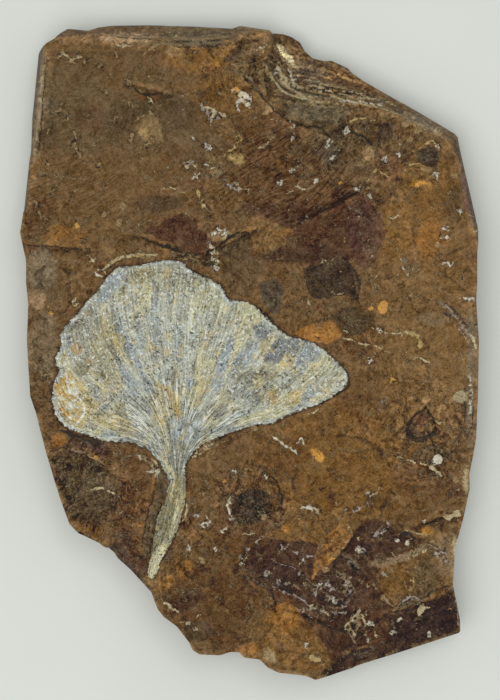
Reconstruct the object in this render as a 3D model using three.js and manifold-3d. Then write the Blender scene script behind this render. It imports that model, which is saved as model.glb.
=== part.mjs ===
// A fossil ginkgo leaf in a slab of silicified shale. Millimetres, +Z up.
// The slab lies on its flat underside, which is at z = 0, with the origin under its middle;
// the bedding face with the leaf looks up, and the leaf's blade opens towards +Y.
// There are two solids: matrix_slab, the rock, and ginkgo_leaf, the mineralised blade and
// petiole, which grew as one piece and fill a shallow pocket in the bedding face.

import * as THREE from 'three';
import { mergeVertices } from 'three/addons/utils/BufferGeometryUtils.js';
import Module from 'manifold-3d';

const wasm = await Module();
wasm.setup();

// Driving dimensions
const SLAB_BLANK = 24; // height of the rough block before its faces are broken away
const FACE_HEIGHT = 16; // usual height of the bedding face
const FACE_STEP = 4; // spacing of the points that shape the bedding face
const FACE_AREA = [112, 156]; // a little more than the slab's width and length
const LEAF_PROUD = 0.3; // the leaf's face stands above the bedding face
const LEAF_THICKNESS = 1;
const CONTACT_GAP = 0.3; // between the leaf and the walls and floor of its pocket
const CLEAR = 30; // anything broken away is cut well past the slab

// The slab's outline, clockwise from its upper left corner. The rock broke in small straight
// facets, so every stretch is a run of chords.
const TOP_EDGE = [
  [-46.5, 65.2], [-42.5, 67.9], [-41.6, 69.2], [-40, 70.6], [-35.5, 70], [-33.4, 71],
  [-30.6, 71.5], [-22.8, 71.7], [-12.9, 71.3], [-3.8, 70.6], [-2.2, 71.5], [2.8, 70.4],
  [7.4, 70], [9.3, 69.3], [11.1, 68], [12.1, 66], [13.7, 64.4],
];
const SLOPE_EDGE = [
  [16.2, 63.8], [18, 63.9], [21.7, 62.2], [22.6, 61], [24.8, 59.4], [28.1, 57.4],
  [33.7, 54.3], [41, 50.1], [44.9, 47.7], [45.7, 46.7],
];
const RIGHT_EDGE = [
  [46.1, 44.1], [46.9, 40.3], [49.2, 30.2], [50, 26.3], [49.4, 21.2], [49.4, 14.7],
  [49.2, 10.8], [49.8, 1.8], [49.6, -8.6], [49.2, -19], [48.5, -23.1], [47.7, -26.9],
  [47.8, -30.1], [46.3, -37], [44.5, -43.2], [44.2, -51.2], [45.9, -59], [46, -61.8],
];
const BOTTOM_EDGE = [
  [31.4, -66.5], [14.3, -71.8], [12.2, -70.9], [6.2, -70.2], [3.8, -69], [2.1, -67.3],
  [-1.3, -66.9], [-2.4, -65.7], [-4.4, -65.7], [-6.5, -66.4], [-11, -66.2], [-12.6, -65.2],
  [-13.1, -63.8],
];
const LOWER_LEFT_EDGE = [
  [-15.9, -60.1], [-18.7, -58.1], [-20.1, -56.3], [-21.4, -52.9], [-26, -48],
  [-28.9, -45.6], [-29.8, -44.2], [-32.9, -41.9], [-37.4, -39.8], [-39.3, -37.9],
  [-41.4, -32.2], [-44.5, -21.8],
];
const LEFT_EDGE = [
  [-46.6, -13.5], [-47.8, -10], [-48.5, 1.8], [-48.2, 10.1], [-48.7, 14.3],
  [-48.7, 19.2], [-50, 25.5], [-49.4, 29.3], [-48.2, 41.2], [-47.7, 43.6], [-47.8, 50.5],
];
const SLAB_OUTLINE = [TOP_EDGE, SLOPE_EDGE, RIGHT_EDGE, BOTTOM_EDGE, LOWER_LEFT_EDGE, LEFT_EDGE];

// The leaf's outline, clockwise from where the petiole's left side meets the blade. Each
// stretch is one smooth curve, and the margin is notched or torn where two of them meet.
const LEAF_START = [-17.6, -28.4];
const LEAF_OUTLINE = [
  // lower left margin, out to the left lobe
  [[-19.7, -24.2], [-21.8, -21.9], [-24.9, -20.3], [-28.7, -19.9], [-32.2, -19.6], [-39.1, -17.2]],
  [[-41.2, -15.6], [-42.6, -13], [-43, -10.1]],
  // torn left side, between the lobe and the shoulder
  [[-42.7, -7.4], [-41.3, -4.4]],
  [[-42.3, -2.3], [-41, 0.9], [-41.3, 3.3]],
  [[-39.1, 6.3], [-37, 8.4], [-34.9, 11.2], [-32.8, 13.3], [-30.8, 16], [-28.7, 17.9]],
  // outer margin, over the middle of the fan to the right wing
  [[-23.2, 18.6], [-20.4, 19.2], [-16.9, 19.5], [-14.8, 19], [-13.1, 17.4], [-8.2, 15]],
  [[-6.2, 13.6], [-5.1, 11.5], [-4.4, 10.7]],
  [[0, 10.3], [2.1, 8.4], [6.9, 3.9], [9.7, 2.5], [12.8, 1.8], [15.6, 0.3], [20.1, -3.7]],
  [[21.3, -5.8], [20.8, -7.7]],
  // lower right margin, back to the petiole
  [[18.7, -9.4], [15.6, -11.3], [8, -14.3], [5.2, -15.8]],
  [[0, -16.5], [-6.5, -18.8], [-9.6, -20], [-11.7, -21.6], [-13.5, -23.8], [-14.2, -25.6]],
  // petiole, down its right side, round the torn tip and up its left side
  [[-14, -28.6], [-14.2, -33.5], [-16.1, -39.6], [-18.8, -44.8], [-20.5, -48.6]],
  [[-21.3, -49.8], [-22.3, -48.6]],
  [[-22, -46.7], [-21.4, -43.5], [-20, -36.3], [-18.2, -31.6], [-17.6, -28.4]],
];
const CURVE_STEPS = 2;

// Broad swells and hollows of the bedding face.
const SWELLS = [
  { at: [-14, 0], reach: 34, rise: 0.7 }, // the leaf arches gently over the middle
  { at: [37, 30], reach: 12, rise: 0.6 }, // ochre shoulder on the right
  { at: [18, -52], reach: 8, rise: 1.1 }, // maroon dome above the lower edge
  { at: [-21, 55.5], reach: 5, rise: -0.8 }, // hollow under the top edge
  { at: [38, 42], reach: 4.5, rise: -1 }, // dark pit on the right
  { at: [37.4, -15.5], reach: 4.5, rise: -0.8 }, // red pit on the right
  { at: [0.2, -33.5], reach: 5.5, rise: -0.7 }, // grey hollow below the leaf
  { at: [-35, -30], reach: 9, rise: -1 }, // worn patch under the left lobe
];
const WAVE = { height: 0.3, across: 19, along: 23 };

// Faces that broke off the top. The crest runs from one point to the other with the broken
// side on its left, and the profile gives [distance out from the crest, height over it].
const UPPER_BREAKS = [
  // the top edge, a steep rounded face along the whole side
  { from: [-50, 66.2, 16.4], to: [12, 66.2, 16.4], profile: [[2, -1.9], [5, -8.5], [8, -19]] },
  // the step down to the shelf at the top right
  { from: [-6.7, 62.4, 16], to: [7.5, 50.3, 16.4], profile: [[0.5, -0.9], [14, -5.5]] },
  // the long slope at the upper right, and the bedding layers that stick out of it
  { from: [3.2, 50.8, 16.4], to: [48, 47, 16.4], profile: [[3, -1.4], [10, -6.2], [20, -12.5]] },
  { from: [5.2, 69, 12.5], to: [13, 60, 11], profile: [[0.6, -1.6], [12, -9]] },
  { from: [12, 61, 11], to: [33, 51.8, 12.5], profile: [[0.6, -1.5], [12, -10]] },
  { from: [10, 63.5, 16.4], to: [50, 40.4, 16.4], profile: [[2.9, -5.6], [6, -15]] },
  // the bevels along both sides
  { from: [-48.6, 30, 16.4], to: [-44.4, 68, 16.4], profile: [[1.2, -5], [4, -20]] },
  { from: [43.4, 49, 16.4], to: [49.8, 21.6, 16.4], profile: [[1.4, -6], [4, -20]] },
  // the lower right corner, one bedding layer down
  { from: [50, -50.4, 16.2], to: [20, -60.2, 16.8], profile: [[0.7, -1.5], [14, -5.4]] },
  { from: [20.5, -59.6, 16.8], to: [16, -70, 16.6], profile: [[0.9, -1.6], [30, -4]] },
  // the small broken face at the lower left
  { from: [-20.4, -52.6, 16], to: [-28.4, -41.4, 16], profile: [[6, -9]] },
];

// The underside is flat inside this rim, listed clockwise as seen from above. Past each side
// of the rim, from its corner to the next, the rock has broken away upwards.
const UNDERSIDE_RIM = [
  { corner: [-43, 65.5], profile: [[3, 2.2], [10, 7]] },
  { corner: [4, 67], profile: [[3, 1.6], [10, 7]] },
  { corner: [20, 57], profile: [[4, 2.6], [12, 8]] },
  { corner: [43.4, 41], profile: [[1.6, 3], [6, 13]] },
  { corner: [46.6, 10], profile: [[1.2, 1.4], [6, 12]] },
  { corner: [46, -14], profile: [[1.4, 3.6], [8, 9]] },
  { corner: [42, -58], profile: [[2.4, 3.2], [8, 6.4]] },
  { corner: [12, -67.6], profile: [[2, 1.8], [9, 6]] },
  { corner: [-10, -61], profile: [[2.6, 3], [9, 9]] },
  { corner: [-27, -44], profile: [[2, 2], [8, 8]] },
  { corner: [-42, -18], profile: [[1.4, 2.6], [6, 9]] },
  { corner: [-46.4, 10], profile: [[1.2, 3], [6, 12]] },
  { corner: [-45.4, 36], profile: [[1.8, 1.8], [6, 8]] },
];
const RIM_OVERRUN = 6; // each side's break runs on past its corners, so none leaves a spur

function vector(point) {
  return new THREE.Vector2(point[0], point[1]);
}

function faceHeight(x, y) {
  let height = FACE_HEIGHT;
  height += WAVE.height * Math.sin(x / WAVE.across + 1) * Math.cos(y / WAVE.along);
  for (const swell of SWELLS) {
    const away = Math.hypot(x - swell.at[0], y - swell.at[1]) / swell.reach;
    height += swell.rise * Math.exp(-away * away);
  }
  return height;
}

// A closed geometry as a solid that can be joined and cut.
function solidFrom(geometry) {
  const bare = geometry.clone();
  bare.deleteAttribute('normal');
  bare.deleteAttribute('uv');
  const merged = mergeVertices(bare, 1e-4);
  const mesh = new wasm.Mesh({
    numProp: 3,
    vertProperties: new Float32Array(merged.attributes.position.array),
    triVerts: new Uint32Array(merged.index.array),
  });
  return new wasm.Manifold(mesh);
}

function geometryFrom(solid) {
  const mesh = solid.getMesh();
  const geometry = new THREE.BufferGeometry();
  geometry.setAttribute('position', new THREE.BufferAttribute(mesh.vertProperties, 3));
  geometry.setIndex(new THREE.BufferAttribute(mesh.triVerts, 1));
  geometry.computeVertexNormals();
  return geometry;
}

function prism(shape) {
  const geometry = new THREE.ExtrudeGeometry(shape, {
    depth: SLAB_BLANK,
    bevelEnabled: false,
    curveSegments: CURVE_STEPS,
  });
  return solidFrom(geometry);
}

// Everything higher than the bedding face, moved by the given offset: its lower side has
// the face's swells.
function spaceAbove(offset) {
  const [width, length] = FACE_AREA;
  const columns = Math.round(width / FACE_STEP);
  const rows = Math.round(length / FACE_STEP);
  const geometry = new THREE.BoxGeometry(width, length, CLEAR, columns, rows, 1);
  geometry.translate(0, 0, FACE_HEIGHT + CLEAR / 2);
  const points = geometry.attributes.position;
  for (let i = 0; i < points.count; i += 1) {
    if (points.getZ(i) < FACE_HEIGHT + 1) {
      points.setZ(i, faceHeight(points.getX(i), points.getY(i)) + offset);
    }
  }
  return solidFrom(geometry);
}

// The rock that is gone past a crest, above its profile or, on the underside, below it.
function brokenOff({ from, to, profile, overrun = 0 }, clearTo) {
  const start = new THREE.Vector3(...from);
  const along = new THREE.Vector3(...to).sub(start);
  const length = along.length() + 2 * overrun;
  along.normalize();
  start.addScaledVector(along, -overrun);
  const outward = new THREE.Vector3(-along.y, along.x, 0).normalize();
  const upward = new THREE.Vector3().crossVectors(along, outward);
  const farthest = profile[profile.length - 1][0];
  const section = new THREE.Shape();
  section.moveTo(0, clearTo);
  section.lineTo(0, 0);
  for (const [out, height] of profile) {
    section.lineTo(out, height);
  }
  section.lineTo(farthest, clearTo);
  section.closePath();
  const geometry = new THREE.ExtrudeGeometry(section, { depth: length, bevelEnabled: false });
  const placing = new THREE.Matrix4().makeBasis(outward, upward, along).setPosition(start);
  geometry.applyMatrix4(placing);
  return solidFrom(geometry);
}

function undersideBreaks() {
  return UNDERSIDE_RIM.map(({ corner, profile }, i) => {
    const next = UNDERSIDE_RIM[(i + 1) % UNDERSIDE_RIM.length].corner;
    return { from: [...corner, 0], to: [...next, 0], profile, overrun: RIM_OVERRUN };
  });
}

function leafShape() {
  const shape = new THREE.Shape();
  shape.moveTo(...LEAF_START);
  for (const stretch of LEAF_OUTLINE) {
    shape.splineThru(stretch.map(vector));
  }
  return shape;
}

// The same outline with each point moved outwards, for the pocket that the leaf fills.
function grown(shape, distance) {
  const points = shape.getPoints(CURVE_STEPS);
  points.pop();
  const count = points.length;
  const moved = points.map((point, i) => {
    const before = points[(i + count - 1) % count];
    const after = points[(i + 1) % count];
    const run = after.clone().sub(before).normalize();
    return new THREE.Vector2(point.x - run.y * distance, point.y + run.x * distance);
  });
  return new THREE.Shape(moved);
}

function matrixSlab() {
  let slab = prism(new THREE.Shape(SLAB_OUTLINE.flat().map(vector)));
  slab = slab.subtract(spaceAbove(0));
  for (const face of UPPER_BREAKS) {
    slab = slab.subtract(brokenOff(face, CLEAR));
  }
  for (const face of undersideBreaks()) {
    slab = slab.subtract(brokenOff(face, -CLEAR));
  }
  const pocketDepth = LEAF_THICKNESS - LEAF_PROUD + CONTACT_GAP;
  const pocket = prism(grown(leafShape(), CONTACT_GAP)).intersect(spaceAbove(-pocketDepth));
  return slab.subtract(pocket);
}

function ginkgoLeaf() {
  const blade = prism(leafShape()).intersect(spaceAbove(LEAF_PROUD - LEAF_THICKNESS));
  return blade.subtract(spaceAbove(LEAF_PROUD));
}

function piece(name, solid, colour, roughness) {
  const material = new THREE.MeshStandardMaterial({ color: colour, roughness, metalness: 0 });
  const mesh = new THREE.Mesh(geometryFrom(solid), material);
  mesh.name = name;
  return mesh;
}

const fossil = new THREE.Group();
fossil.add(piece('matrix_slab', matrixSlab(), 0x6a4e30, 0.7));
fossil.add(piece('ginkgo_leaf', ginkgoLeaf(), 0xc9c4a8, 0.75));

export default fossil;
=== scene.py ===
# Looks of a fossil ginkgo leaf in a slab of rusty shale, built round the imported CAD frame.
# Shapes are worked out in millimetres and turned into metres by make_object(). The floor and
# the lights are in metres. A place that is read from the photograph is a pixel of its 500 x 700
# frame, and place() turns it into millimetres in the frame.

import math

import bpy
import numpy as np
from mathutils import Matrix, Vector, noise
from mathutils.bvhtree import BVHTree
from mathutils.geometry import delaunay_2d_cdt
from mathutils.kdtree import KDTree


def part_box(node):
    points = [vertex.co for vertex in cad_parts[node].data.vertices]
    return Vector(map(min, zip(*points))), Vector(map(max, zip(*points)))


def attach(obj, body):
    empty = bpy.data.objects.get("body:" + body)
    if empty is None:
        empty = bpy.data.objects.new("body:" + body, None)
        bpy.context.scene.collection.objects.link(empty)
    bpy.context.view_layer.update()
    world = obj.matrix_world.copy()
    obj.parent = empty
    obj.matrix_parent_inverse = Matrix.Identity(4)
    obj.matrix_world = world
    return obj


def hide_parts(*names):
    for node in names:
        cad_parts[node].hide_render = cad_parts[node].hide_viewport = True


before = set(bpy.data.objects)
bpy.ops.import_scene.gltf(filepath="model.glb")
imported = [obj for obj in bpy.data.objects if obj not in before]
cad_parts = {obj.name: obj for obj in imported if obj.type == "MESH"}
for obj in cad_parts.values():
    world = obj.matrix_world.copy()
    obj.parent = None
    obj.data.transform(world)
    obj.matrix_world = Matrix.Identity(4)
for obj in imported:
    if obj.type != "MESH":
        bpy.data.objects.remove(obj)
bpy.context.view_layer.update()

MM = 0.001
SLAB = "matrix_slab"
LEAF = "ginkgo_leaf"

# The photograph: the camera looked straight down at the slab's bedding face.
PHOTO_WIDTH = 500
PHOTO_HEIGHT = 700
SLAB_PIXELS = 660  # the slab's length in the photograph
FACE_LEVEL = 16  # usual height of the bedding face
SKY = FACE_LEVEL + 20  # above everything, where rays start downwards
OUTSIDE = 100  # further from the middle than any point of the slab
CAMERA_HEIGHT = 600
SENSOR = 24
slab_low, slab_high = (np.array(corner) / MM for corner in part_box(SLAB))
PIXEL = (slab_high[1] - slab_low[1]) / SLAB_PIXELS

# Sizes of the fine surface
GRID = 0.5  # spacing of the height samples taken from the CAD
RIM_STEPS = 900  # columns round the slab's walls
WALL_ROWS = 24
TOP_STEP = 0.47  # spacing of the points on the bedding face
MARK_STEP = 0.22  # spacing of the points along the marks and the patches' edges
UNDER_STEP = 2.4  # on the underside, and hidden under the leaf
LEAF_STEP = 0.19
CURVE_STEP = 0.2  # along the smooth lines of the marks
LEAF_PROUD = 0.3  # as in the CAD
LEAF_THICKNESS = 1
POCKET_FLOOR = -0.85  # under the leaf, from the bedding face
VEIN_SPACING = 0.75
VEIN_HEIGHT = 0.075
SEED = 7

rng = np.random.default_rng(SEED)


# Places, lines and noise ----------------------------------------------------------------

def place(x, y):
    """A pixel of the photograph as millimetres on the bedding face."""
    return np.array(((x - PHOTO_WIDTH / 2) * PIXEL, (PHOTO_HEIGHT / 2 - y) * PIXEL))


def places(pixels):
    return np.array([place(x, y) for x, y in pixels])


def smooth(low, high, value):
    """0 below low and 1 above high, with a smooth ramp between them."""
    share = np.clip((value - low) / (high - low), 0, 1)
    return share * share * (3 - 2 * share)


def in_space(points):
    """The points with three coordinates, of which the missing ones are 0."""
    full = np.zeros((len(points), 3))
    full[:, :points.shape[1]] = points
    return full


def fractal(points, size, octaves=4, seed=0):
    """Noise of about -1 to 1 whose largest lumps are size millimetres across. Each use has a
    seed of its own, so that no two patterns fall in line."""
    shift = Vector((17.3, -9.1, 5.7)) * (seed + 1)
    scaled = (in_space(points) / size).tolist()
    return np.array([noise.fractal(Vector(p) + shift, 1, 2, octaves) for p in scaled])


def warped(points, amount, size, seed):
    """The points moved about a little, so that what is drawn on them gets a natural edge."""
    return points + amount * np.column_stack(
        (fractal(points, size, 3, seed), fractal(points, size, 3, seed + 50))
    )


def shards(points, size, seed):
    """Angular flakes of shale: each point's flake number from 0 to 1, the way from the
    flake's middle, and the distance from its edge."""
    shift = Vector((7.1, 13.3, -4.7)) * (seed + 1)
    scaled = in_space(points) / size
    nearest = np.empty((len(points), 3))
    gaps = np.empty(len(points))
    for i, p in enumerate(scaled.tolist()):
        distances, centres = noise.voronoi(Vector(p) + shift)
        nearest[i] = centres[0]
        gaps[i] = distances[1] - distances[0]
    number = np.modf(np.abs(np.sin(nearest @ (12.99, 78.23, 37.72)) * 43758.5))[0]
    away = scaled + np.array(shift) - nearest
    return number, away[:, :2] * size, gaps * size


def headings(angles):
    """Unit vectors in the directions of the angles."""
    return np.column_stack((np.cos(angles), np.sin(angles)))


def on_turned_axes(points, angle):
    """The points' two coordinates on axes that are turned by an angle."""
    x, y = points.T
    cosine = math.cos(angle)
    sine = math.sin(angle)
    return x * cosine + y * sine, y * cosine - x * sine


def from_piece(start, end, points):
    """How far along a straight piece each point lies, from 0 to 1, and how far from it."""
    run = end - start
    share = np.clip((points - start) @ run / max(run @ run, 1e-9), 0, 1)
    away = points - start - share[:, None] * run
    return share, np.hypot(away[:, 0], away[:, 1])


def reach_to(line, points):
    """Distance of each point from a line of straight pieces."""
    nearest = np.full(len(points), np.inf)
    for start, end in zip(line, line[1:]):
        nearest = np.minimum(nearest, from_piece(start, end, points)[1])
    return nearest


def closed(outline):
    """An outline with its first point once more at its end."""
    return np.vstack((outline, outline[:1]))


def within(outline, points):
    """True for each point inside a closed outline."""
    x, y = points.T
    found = np.zeros(len(points), bool)
    for (ax, ay), (bx, by) in zip(outline, np.roll(outline, -1, axis=0)):
        if ay != by:
            found ^= ((ay > y) != (by > y)) & (x < ax + (y - ay) * (bx - ax) / (by - ay))
    return found


def depth_in(outline, points):
    """Distance from a closed outline, positive inside it."""
    away = reach_to(closed(outline), points)
    return np.where(within(outline, points), away, -away)


def near(points, low, high, margin):
    """Indices of the points in a box that is grown by a margin."""
    return np.flatnonzero(np.all((points > low - margin) & (points < high + margin), axis=1))


def curve_through(corners, step):
    """A smooth curve through the corners, as points about step apart."""
    if len(corners) < 3:
        count = max(2, int(np.hypot(*(corners[-1] - corners[0])) / step) + 1)
        return corners[0] + np.linspace(0, 1, count)[:, None] * (corners[-1] - corners[0])
    padded = np.vstack((2 * corners[0] - corners[1], corners, 2 * corners[-1] - corners[-2]))
    made = []
    for a, b, c, d in zip(padded, padded[1:], padded[2:], padded[3:]):
        count = max(1, int(np.hypot(*(c - b)) / step))
        for t in np.arange(count) / count:
            made.append(
                0.5 * (2 * b + (c - a) * t + (2 * a - 5 * b + 4 * c - d) * t * t
                       + (3 * b - a - 3 * c + d) * t ** 3)
            )
    return np.array(made + [corners[-1]])


def spaced(line, count):
    """count points evenly spaced along a line, both ends included."""
    along = np.concatenate(([0], np.cumsum(np.linalg.norm(np.diff(line, axis=0), axis=1))))
    at = np.linspace(0, along[-1], count)
    return np.column_stack([np.interp(at, along, column) for column in line.T])


def blurred(field, reach):
    """A grid smoothed by a gaussian, whose reach is in grid steps."""
    span = np.arange(-math.ceil(3 * reach), math.ceil(3 * reach) + 1)
    kernel = np.exp(-0.5 * (span / reach) ** 2)
    kernel /= kernel.sum()
    rows = np.apply_along_axis(np.convolve, 0, field, kernel, "same")
    return np.apply_along_axis(np.convolve, 1, rows, kernel, "same")


# Colours, as the photograph shows them --------------------------------------------------

def tone(red, green, blue):
    """A colour of 0 to 255 as linear light."""
    value = np.array((red, green, blue)) / 255
    return np.where(value <= 0.04045, value / 12.92, ((value + 0.055) / 1.055) ** 2.4)


OLIVE = tone(101, 83, 57)
DARK_OLIVE = tone(83, 68, 47)
MOSS = tone(94, 84, 64)
BROWN = tone(108, 83, 54)
CHESTNUT = tone(95, 69, 43)
UMBER = tone(89, 65, 37)
RUST = tone(122, 94, 59)
HONEY = tone(114, 84, 46)
OCHRE = tone(138, 100, 53)
ORANGE = tone(154, 108, 56)
TAN = tone(152, 126, 88)
MAROON = tone(79, 56, 40)
PLUM = tone(84, 60, 53)
RED = tone(104, 70, 46)
CHOCOLATE = tone(70, 51, 37)
DUSK = tone(47, 36, 31)
PURPLE = tone(96, 80, 65)
SLATE = tone(80, 73, 60)
BLACK = tone(58, 48, 36)
PITCH = tone(38, 32, 26)
PINK = tone(144, 119, 90)
GREY = tone(122, 107, 84)
GROOVE_GREY = tone(98, 85, 62)
CREAM = tone(196, 178, 138)
STRAW = tone(180, 154, 100)
LILAC = tone(172, 158, 146)
WHITE = tone(212, 202, 180)
GOLD = tone(204, 150, 74)
GLOSS = np.array((0.008, 0.014, 0.015))  # light that the rock's own sheen adds to them

# Soft stains on the rock: colour, strength, soft edge, centre, reach across and down, and
# turn in degrees. Places and lengths are pixels of the photograph. The grounds lie under the
# patches, and the stains on them.
GROUNDS = {
    "upper left": (OLIVE, 0.8, 40, (100, 110), (75, 60), 0),
    "dark olive, upper left": (DARK_OLIVE, 0.8, 18, (152, 116), (52, 20), 8),
    "middle left": (BROWN, 0.8, 30, (100, 185), (80, 32), 0),
    "upper middle": (CHESTNUT, 0.8, 30, (265, 160), (45, 45), 0),
    "upper right": (DARK_OLIVE, 0.5, 30, (345, 150), (55, 32), 0),
    "dark, middle right": (MAROON, 0.9, 20, (328, 226), (50, 42), 12),
    "right": (RUST, 0.8, 30, (425, 300), (55, 130), 0),
    "under the wing": (CHESTNUT, 0.5, 24, (370, 400), (40, 30), 0),
    "lower middle": (HONEY, 0.9, 40, (345, 465), (95, 60), 0),
    "round the grey hollow": (CHESTNUT, 0.7, 20, (245, 520), (32, 34), 0),
    "lower left": (UMBER, 0.8, 24, (215, 590), (55, 50), 35),
    "bottom": (HONEY, 0.6, 20, (290, 640), (40, 32), 0),
    "left of the petiole": (CHESTNUT, 0.6, 20, (110, 500), (50, 50), 0),
    "brown ground, right": (RUST, 0.65, 20, (420, 370), (44, 60), 0),
    "brown ground, upper right": (HONEY, 0.8, 16, (430, 186), (28, 38), 0),
    "olive-ochre ground": (OCHRE, 0.45, 12, (397, 230), (16, 32), 0),
    "orange-ochre ground": (ORANGE, 0.65, 12, (430, 237), (15, 20), 0),
    "ochre ground, right of the petiole": (HONEY, 0.95, 24, (340, 480), (60, 30), 0),
    "brown ground, lower middle": (UMBER, 0.6, 18, (275, 475), (26, 30), 0),
    "dark ground, lower right": (CHESTNUT, 0.8, 14, (425, 480), (30, 20), 0),
    "brown ground, lower left": (UMBER, 0.95, 12, (210, 590), (35, 35), 0),
    "olive ground right of the leaf top": (DARK_OLIVE, 0.6, 9, (241, 266), (20, 32), 0),
    "dark ground under the slope": (DARK_OLIVE, 0.4, 12, (350, 130), (38, 13), 0),
    "grey-green patch, right": (GREY, 0.45, 6, (431, 320), (17, 7), 0),
}
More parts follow.
